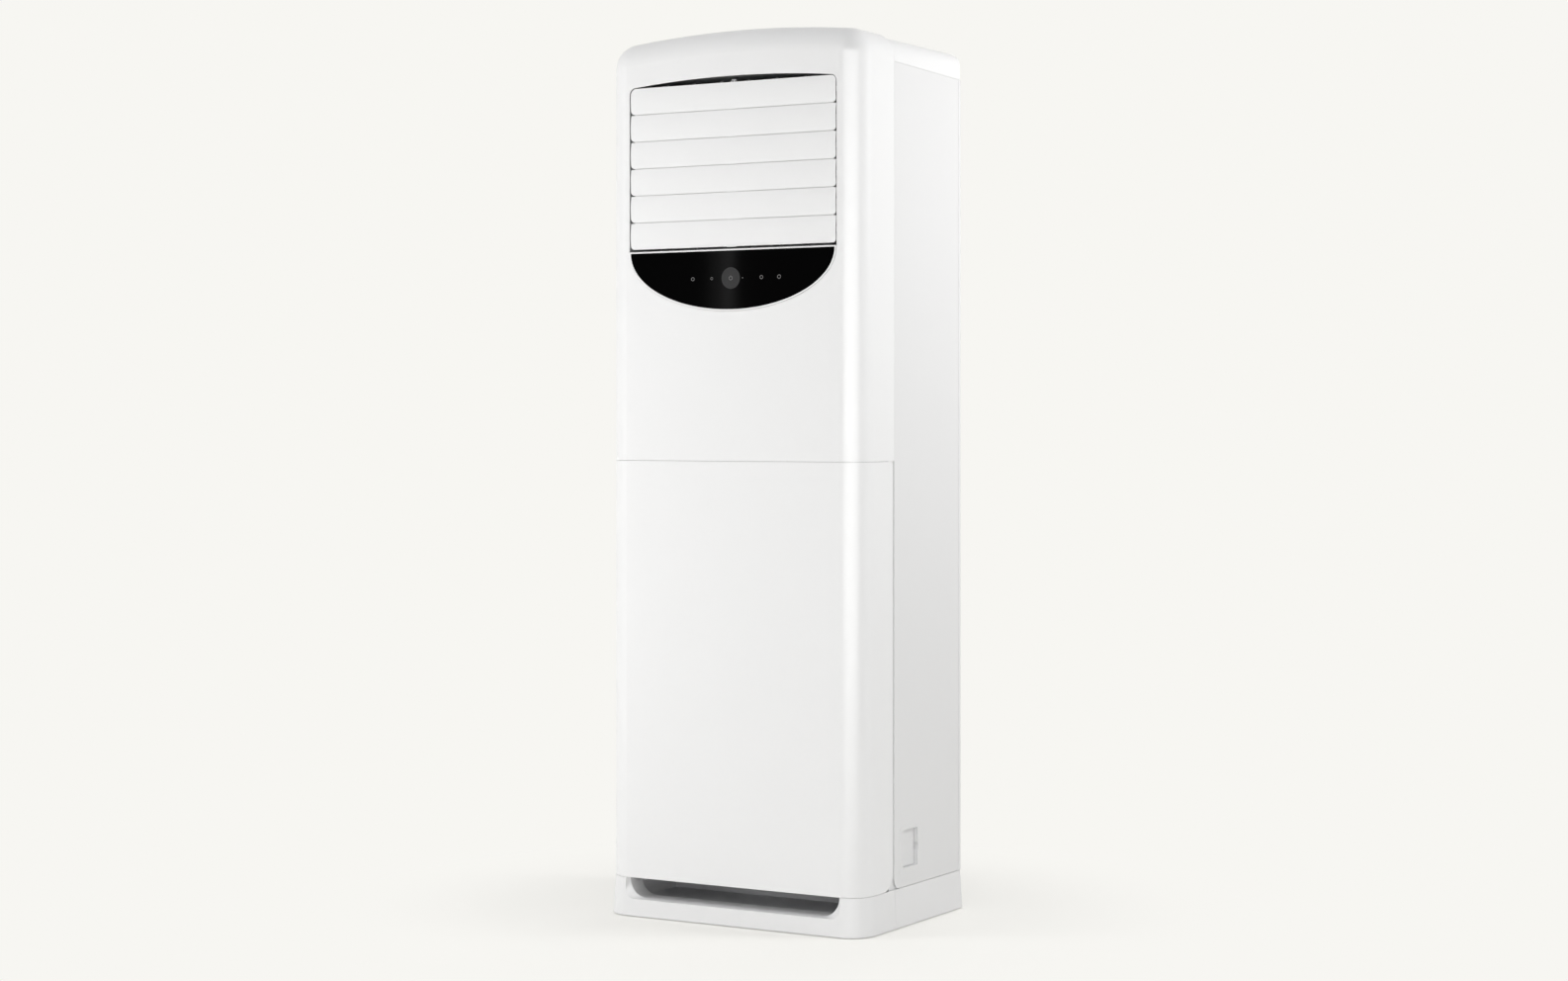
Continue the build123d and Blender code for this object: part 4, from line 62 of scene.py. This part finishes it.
# The mark on the key: a ring that is open at the top, with a bar in the gap.
POWER_INNER = 0.0034
POWER_OUTER = 0.0042
POWER_START = 115
POWER_TURN = 310
POWER_STEPS = 40
POWER_BAR_FROM = 0.0012
POWER_BAR_TO = 0.0052
POWER_BAR_WIDTH = 0.0008

# ------------------------------------------------------------------ colours
BACKDROP = (0.930, 0.922, 0.888)
FLOOR_COLOUR = (0.96, 0.95, 0.915)
FILL_COLOUR = (0.98, 0.99, 1.0)
WHITE = (0.86, 0.86, 0.865)
ZINC = (0.50, 0.52, 0.54)
ALUMINIUM = (0.66, 0.69, 0.71)

# ------------------------------------------------------------------ light
FILL_STRENGTH = 0.19
OVERHEAD_STRENGTH = 1.1
OVERHEAD_SPREAD = 80
FADE_FROM = 0.3
FADE_TO = 1.0
FADE_LEAST = 0.3

# Area lamps: name, place, target, width, height, power, lights matt surfaces, shows in gloss.
LAMPS = (
    ("left_panel", (-1.6, -1.5, 1.15), (-0.2, -0.2, 0.9), 0.8, 2.4, 21, True, False),
    ("key", (1.9, -3.5, 1.0), (0.2, -0.2, 0.95), 1.3, 3.4, 45, True, False),
    ("sheen", (1.75, -3.1, 1.0), (0.25, -0.2, 1.0), 4.2, 3.0, 175, False, True),
    ("streak", (-3.008, -5.05, 1.5), (-0.1, -0.2, 1.3), 0.10, 2.4, 2.6, True, True),
    ("streak_edge", (-2.976, -5.05, 1.5), (-0.07, -0.2, 1.3), 0.045, 2.4, 3.0, True, True),
    ("side_wash", (1.9, 0.6, 1.8), (0.3, 0.1, 1.6), 0.7, 0.7, 19.5, True, False),
    ("back_panel", (-0.4, 3.3, 1.1), (-0.1, 0.3, 0.9), 1.4, 2.2, 25, True, False),
)

# ------------------------------------------------------------------ camera, solved for 1586 by 992
PHOTO_W = 1586
PHOTO_H = 992
FOCAL_PX = 2821.7
HORIZON_PX = 428
SENSOR_MM = 36
CAMERA_PLACE = (2.9342, -5.0011, 1.0124)
CAMERA_TURN = 30.415
CAMERA_REACH = 100


# ------------------------------------------------------------------ materials
def links(material, *pairs):
    for source, target in pairs:
        material.node_tree.links.new(source, target)


def add_node(material, kind, **sockets):
    """New node with its input sockets set by name."""
    node = material.node_tree.nodes.new("ShaderNode" + kind)
    for socket, value in sockets.items():
        node.inputs[socket.replace("_", " ")].default_value = value
    return node


def shade_by(material, source, colour, low, high):
    """Multiplies the base colour by a value that runs from low to high with the source."""
    shader = material.node_tree.nodes["Principled BSDF"]
    ramp = add_node(material, "MapRange", To_Min=low, To_Max=high)
    tint = add_node(material, "Mix")
    tint.data_type = "RGBA"
    tint.blend_type = "MULTIPLY"
    tint.inputs["Factor"].default_value = 1
    tint.inputs["A"].default_value = (*colour, 1)
    links(material, (source, ramp.inputs["Value"]), (ramp.outputs["Result"], tint.inputs["B"]),
          (tint.outputs["Result"], shader.inputs["Base Color"]))


def relief_by(material, source, strength, distance):
    """Raises the surface with the source."""
    shader = material.node_tree.nodes["Principled BSDF"]
    relief = add_node(material, "Bump", Strength=strength, Distance=distance)
    links(material, (source, relief.inputs["Height"]), (relief.outputs["Normal"], shader.inputs["Normal"]))


def surface(name, colour, roughness, spread=0.0, grain=900.0, bump=0.0, shade=0.0, shade_scale=3.0,
            **sockets):
    """Principled material whose roughness, colour and relief come from noise in object space."""
    material = bpy.data.materials.new(name)
    material.use_nodes = True
    shader = material.node_tree.nodes["Principled BSDF"]
    shader.inputs["Base Color"].default_value = (*colour, 1)
    shader.inputs["Roughness"].default_value = roughness
    for socket, value in sockets.items():
        shader.inputs[socket.replace("_", " ")].default_value = value
    place = add_node(material, "TexCoord").outputs["Object"]
    if shade:
        cloud = add_node(material, "TexNoise", Scale=shade_scale, Detail=3)
        links(material, (place, cloud.inputs["Vector"]))
        shade_by(material, cloud.outputs["Fac"], colour, 1 - shade, 1 + shade)
    if spread:
        patches = add_node(material, "TexNoise", Scale=14, Detail=4)
        level = add_node(material, "MapRange", To_Min=roughness - spread, To_Max=roughness + spread)
        links(material, (place, patches.inputs["Vector"]), (patches.outputs["Fac"], level.inputs["Value"]),
              (level.outputs["Result"], shader.inputs["Roughness"]))
    if bump:
        skin = add_node(material, "TexNoise", Scale=grain, Detail=2)
        links(material, (place, skin.inputs["Vector"]))
        relief_by(material, skin.outputs["Fac"], bump, 0.0002)
    return material


def zinc(name):
    """Zinc coated sheet with its spangle."""
    material = surface(name, ZINC, 0.38, spread=0.06, Metallic=1.0)
    place = add_node(material, "TexCoord").outputs["Object"]
    crystals = add_node(material, "TexVoronoi", Scale=90)
    value = add_node(material, "SeparateColor")
    links(material, (place, crystals.inputs["Vector"]), (crystals.outputs["Color"], value.inputs["Color"]))
    shade_by(material, value.outputs["Red"], ZINC, 0.82, 1.12)
    return material


def finned(name):
    """Aluminium fin edges: fine upright lines along the coil's length, raised in relief, with painted
    shade darkening the colour between the edges where the gaps between the fins would be.
    """
    material = surface(name, ALUMINIUM, 0.36, Metallic=1.0)
    place = add_node(material, "TexCoord").outputs["Object"]
    wave = add_node(material, "TexWave", Scale=90)
    wave.bands_direction = "X"
    links(material, (place, wave.inputs["Vector"]))
    relief_by(material, wave.outputs["Fac"], 0.8, 0.001)
    # Painted shade: the same bands darken the colour between the fin edges, standing in for the shaded
    # gaps between the fins.
    shade_by(material, wave.outputs["Fac"], ALUMINIUM, 0.35, 1.0)
    return material


shell = surface("shell white", WHITE, 0.32, spread=0.02, bump=0.05, grain=1400, shade=0.006,
                Specular_IOR_Level=0.6)
louvre_skin = surface("louvre white", (0.87, 0.87, 0.875), 0.36, spread=0.02, bump=0.05, grain=1400,
                      shade=0.006, Specular_IOR_Level=0.45)
powder = surface("powder coat white", (0.78, 0.78, 0.785), 0.33, spread=0.03, bump=0.09, grain=650,
                 shade=0.008, Specular_IOR_Level=0.5)
base_skin = surface("base white", (0.83, 0.83, 0.835), 0.38, spread=0.03, bump=0.06, grain=1200,
                    shade=0.01, Specular_IOR_Level=0.45)
rim_skin = surface("rim white", WHITE, 0.25, spread=0.02, bump=0.03, grain=1200, shade=0.004)
lens_skin = surface("lens black", (0.0006, 0.0006, 0.0007), 0.05, spread=0.01, bump=0.01, grain=60,
                    shade=0.2, Specular_IOR_Level=0.015)
key_skin = surface("key black", (0.024, 0.024, 0.025), 0.16, spread=0.02, bump=0.02, grain=300,
                   shade=0.05, Specular_IOR_Level=0.15)
mark_skin = surface("mark grey", (0.13, 0.13, 0.13), 0.5, spread=0.05, shade=0.05)
grey_skin = surface("moulded grey", (0.46, 0.47, 0.48), 0.5, spread=0.04, bump=0.12, grain=1000,
                    shade=0.03)
dark_skin = surface("moulded dark", (0.045, 0.045, 0.048), 0.45, spread=0.05, bump=0.12, grain=1000,
                    shade=0.06)
tray_skin = surface("tray grey", (0.64, 0.64, 0.65), 0.45, spread=0.04, bump=0.08, grain=900, shade=0.03)
motor_skin = surface("motor enamel", (0.03, 0.03, 0.033), 0.38, spread=0.05, bump=0.2, grain=500,
                     shade=0.08)
board_skin = surface("solder mask", (0.02, 0.11, 0.055), 0.35, spread=0.05, bump=0.1, grain=400,
                     shade=0.1, shade_scale=60)
copper_skin = surface("copper", (0.72, 0.33, 0.19), 0.24, spread=0.06, shade=0.09, shade_scale=30,
                      Metallic=1.0)
bright_skin = surface("bright steel", (0.62, 0.62, 0.63), 0.25, spread=0.05, shade=0.05, Metallic=1.0)
foam_skin = surface("pan white", (0.74, 0.74, 0.73), 0.6, spread=0.05, bump=0.3, grain=300, shade=0.02)
hose_skin = surface("hose grey", (0.42, 0.43, 0.44), 0.5, spread=0.04, bump=0.15, grain=200, shade=0.04)
rubber_skin = surface("rubber", (0.02, 0.02, 0.02), 0.7, spread=0.05, bump=0.25, grain=700, shade=0.1)
zinc_skin = zinc("zinc sheet")
fin_skin = finned("fin edges")

SKINS = {
    "shell_white": shell,
    "louvre_white": louvre_skin,
    "side_white": powder,
    "zinc_steel": zinc_skin,
    "grey_plastic": grey_skin,
    "bezel_white": rim_skin,
    "display_black": lens_skin,
    "key_black": key_skin,
    "board_green": board_skin,
    "motor_black": motor_skin,
    "fan_black": dark_skin,
    "shaft_steel": bright_skin,
    "fin_aluminium": fin_skin,
    "copper": copper_skin,
    "foam_white": foam_skin,
    "hose_grey": hose_skin,
    "black_rubber": rubber_skin,
}
OWN_SKINS = {
    "front_skirt": base_skin,
    "rear_skirt": base_skin,
    "intake_plenum": tray_skin,
    "service_pocket": powder,
    "service_flap": powder,
    "back_panel": powder,
    "uprights": powder,
}


def dress():
    """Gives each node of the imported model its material."""
    for part in frame["record"]["subparts"]:
        slots = frame["nodes"][part["node"]].data.materials
        skin = OWN_SKINS.get(part["node"], SKINS[part["material_slot"]])
        if len(slots) == 0:
            slots.append(skin)
        for index in range(len(slots)):
            slots[index] = skin


# ------------------------------------------------------------------ marks on the display
def mesh_object(name, mesh, shape):
    """Puts the built shape into the mesh and the mesh into the scene."""
    bmesh.ops.recalc_face_normals(shape, faces=shape.faces)
    shape.to_mesh(mesh)
    shape.free()
    piece = bpy.data.objects.new(name, mesh)
    bpy.context.scene.collection.objects.link(piece)
    return piece


def mark(name, shape, body="cabinet"):
    """Thin raised print on the lens or the key: a flat shape in x and z that gets its thickness."""
    mesh = bpy.data.meshes.new(name)
    piece = mesh_object(name, mesh, shape)
    mesh.materials.append(mark_skin)
    thick = piece.modifiers.new("thickness", "SOLIDIFY")
    thick.thickness = MARK_THICKNESS
    thick.offset = 0
    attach(piece, body)


def band(shape, x, inner, outer, start=0.0, turn=FULL_TURN, steps=32):
    """Flat ring at the key's height, or part of one, facing the front."""
    count = steps if turn >= FULL_TURN else steps + 1
    rings = []
    for radius in (inner, outer):
        ring = []
        for step in range(count):
            angle = math.radians(start + turn * step / steps)
            place = (x + radius * math.cos(angle), MARK_Y, KEY_Z + radius * math.sin(angle))
            ring.append(shape.verts.new(place))
        rings.append(ring)
    for step in range(steps):
        after = (step + 1) % count
        shape.faces.new((rings[0][step], rings[1][step], rings[1][after], rings[0][after]))


def upright_bar(shape, low, high, width):
    """Flat bar over the key's middle, facing the front."""
    corners = ((width / 2, low), (width / 2, high), (-width / 2, high), (-width / 2, low))
    shape.faces.new([shape.verts.new((x, MARK_Y, KEY_Z + z)) for x, z in corners])


def lamp_marks():
    for name, x, radius in DISPLAY_MARKS:
        shape = bmesh.new()
        band(shape, x, radius * RING_BORE if radius > DOT_RADIUS else DOT_BORE, radius)
        mark(name, shape)


def key_mark():
    shape = bmesh.new()
    band(shape, 0, POWER_INNER, POWER_OUTER, start=POWER_START, turn=POWER_TURN, steps=POWER_STEPS)
    upright_bar(shape, POWER_BAR_FROM, POWER_BAR_TO, POWER_BAR_WIDTH)
    mark("mark_power", shape, "power_button")


# ------------------------------------------------------------------ room
def add_sum(material, first, second):
    node = add_node(material, "Math")
    node.operation = "ADD"
    node.use_clamp = True
    links(material, (first, node.inputs[0]), (second, node.inputs[1]))
    return node.outputs[0]


def backdrop_mix(material, lit, glow_kind):
    """Mixer between the lit shader and the backdrop's colour, and a factor that is 1 for the camera,
    for reflections and for glass."""
    path = add_node(material, "LightPath").outputs
    seen = add_sum(material, path["Is Camera Ray"], path["Is Glossy Ray"])
    clear = add_sum(material, seen, path["Is Transmission Ray"])
    glow = add_node(material, glow_kind, Color=(*BACKDROP, 1))
    mixer = add_node(material, "MixShader")
    links(material, (lit, mixer.inputs[1]), (glow.outputs[0], mixer.inputs[2]))
    return clear, mixer


def make_world():
    world = bpy.data.worlds.new("room")
    bpy.context.scene.world = world
    world.use_nodes = True
    nodes = world.node_tree.nodes
    fill = nodes["Background"]
    fill.inputs["Color"].default_value = (*FILL_COLOUR, 1)
    fill.inputs["Strength"].default_value = FILL_STRENGTH
    factor, mixer = backdrop_mix(world, fill.outputs[0], "Background")
    links(world, (factor, mixer.inputs[0]), (mixer.outputs[0], nodes["World Output"].inputs["Surface"]))


def floor_material():
    """Lit near the unit so that it takes the shadow, and the backdrop's colour further out."""
    material = bpy.data.materials.new("floor")
    material.use_nodes = True
    nodes = material.node_tree.nodes
    nodes.remove(nodes["Principled BSDF"])
    matte = add_node(material, "BsdfDiffuse", Color=(*FLOOR_COLOUR, 1))
    factor, mixer = backdrop_mix(material, matte.outputs[0], "Emission")
    place = add_node(material, "TexCoord")
    reach = add_node(material, "VectorMath")
    reach.operation = "LENGTH"
    fade = add_node(material, "MapRange", From_Min=FADE_FROM, From_Max=FADE_TO, To_Min=FADE_LEAST)
    fade.interpolation_type = "SMOOTHERSTEP"
    both = add_node(material, "Math")
    both.operation = "MULTIPLY"
    links(material, (place.outputs["Object"], reach.inputs[0]),
          (reach.outputs["Value"], fade.inputs["Value"]),
          (fade.outputs["Result"], both.inputs[0]), (factor, both.inputs[1]),
          (both.outputs[0], mixer.inputs[0]),
          (mixer.outputs[0], nodes["Material Output"].inputs["Surface"]))
    return material


def make_floor():
    """Round floor under the unit."""
    mesh = bpy.data.meshes.new("floor")
    shape = bmesh.new()
    angles = [math.radians(angle) for angle in range(0, FULL_TURN, FLOOR_RING_STEP)]
    rings = [[shape.verts.new((radius * math.cos(angle), radius * math.sin(angle), 0)) for angle in angles]
             for radius in FLOOR_RINGS]
    for near, far in zip(rings, rings[1:]):
        for step in range(len(near)):
            after = (step + 1) % len(near)
            shape.faces.new((near[step], far[step], far[after], near[after]))
    shape.faces.new(rings[0])
    floor = mesh_object("floor", mesh, shape)
    floor.location.z = FLOOR_Z
    mesh.materials.append(floor_material())


# ------------------------------------------------------------------ lamps and camera
def area(name, place, target, width, height, power, matt, gloss):
    lamp = bpy.data.lights.new(name, "AREA")
    lamp.shape = "RECTANGLE"
    lamp.size = width
    lamp.size_y = height
    lamp.energy = power
    holder = bpy.data.objects.new(name, lamp)
    bpy.context.scene.collection.objects.link(holder)
    holder.location = place
    holder.rotation_euler = (Vector(target) - Vector(place)).to_track_quat("-Z", "Y").to_euler()
    holder.visible_diffuse = matt
    holder.visible_glossy = gloss
    holder.visible_camera = False


def overhead():
    """Even light from straight above, as soft as a large ceiling panel gives."""
    lamp = bpy.data.lights.new("overhead", "SUN")
    lamp.energy = OVERHEAD_STRENGTH
    lamp.angle = math.radians(OVERHEAD_SPREAD)
    holder = bpy.data.objects.new("overhead", lamp)
    bpy.context.scene.collection.objects.link(holder)
    holder.visible_glossy = False


def make_lights():
    for lamp in LAMPS:
        area(*lamp)
    overhead()


def make_camera():
    data = bpy.data.cameras.new("camera")
    data.sensor_fit = "HORIZONTAL"
    data.sensor_width = SENSOR_MM
    data.lens = FOCAL_PX / PHOTO_W * SENSOR_MM
    data.shift_y = (HORIZON_PX - PHOTO_H / 2) / PHOTO_W
    data.clip_end = CAMERA_REACH
    camera = bpy.data.objects.new("camera", data)
    bpy.context.scene.collection.objects.link(camera)
    camera.location = CAMERA_PLACE
    camera.rotation_euler = (math.radians(90), 0, math.radians(CAMERA_TURN))
    bpy.context.scene.camera = camera


dress()
lamp_marks()
key_mark()
make_world()
make_floor()
make_lights()
make_camera()
bpy.context.scene.view_settings.view_transform = "Standard"
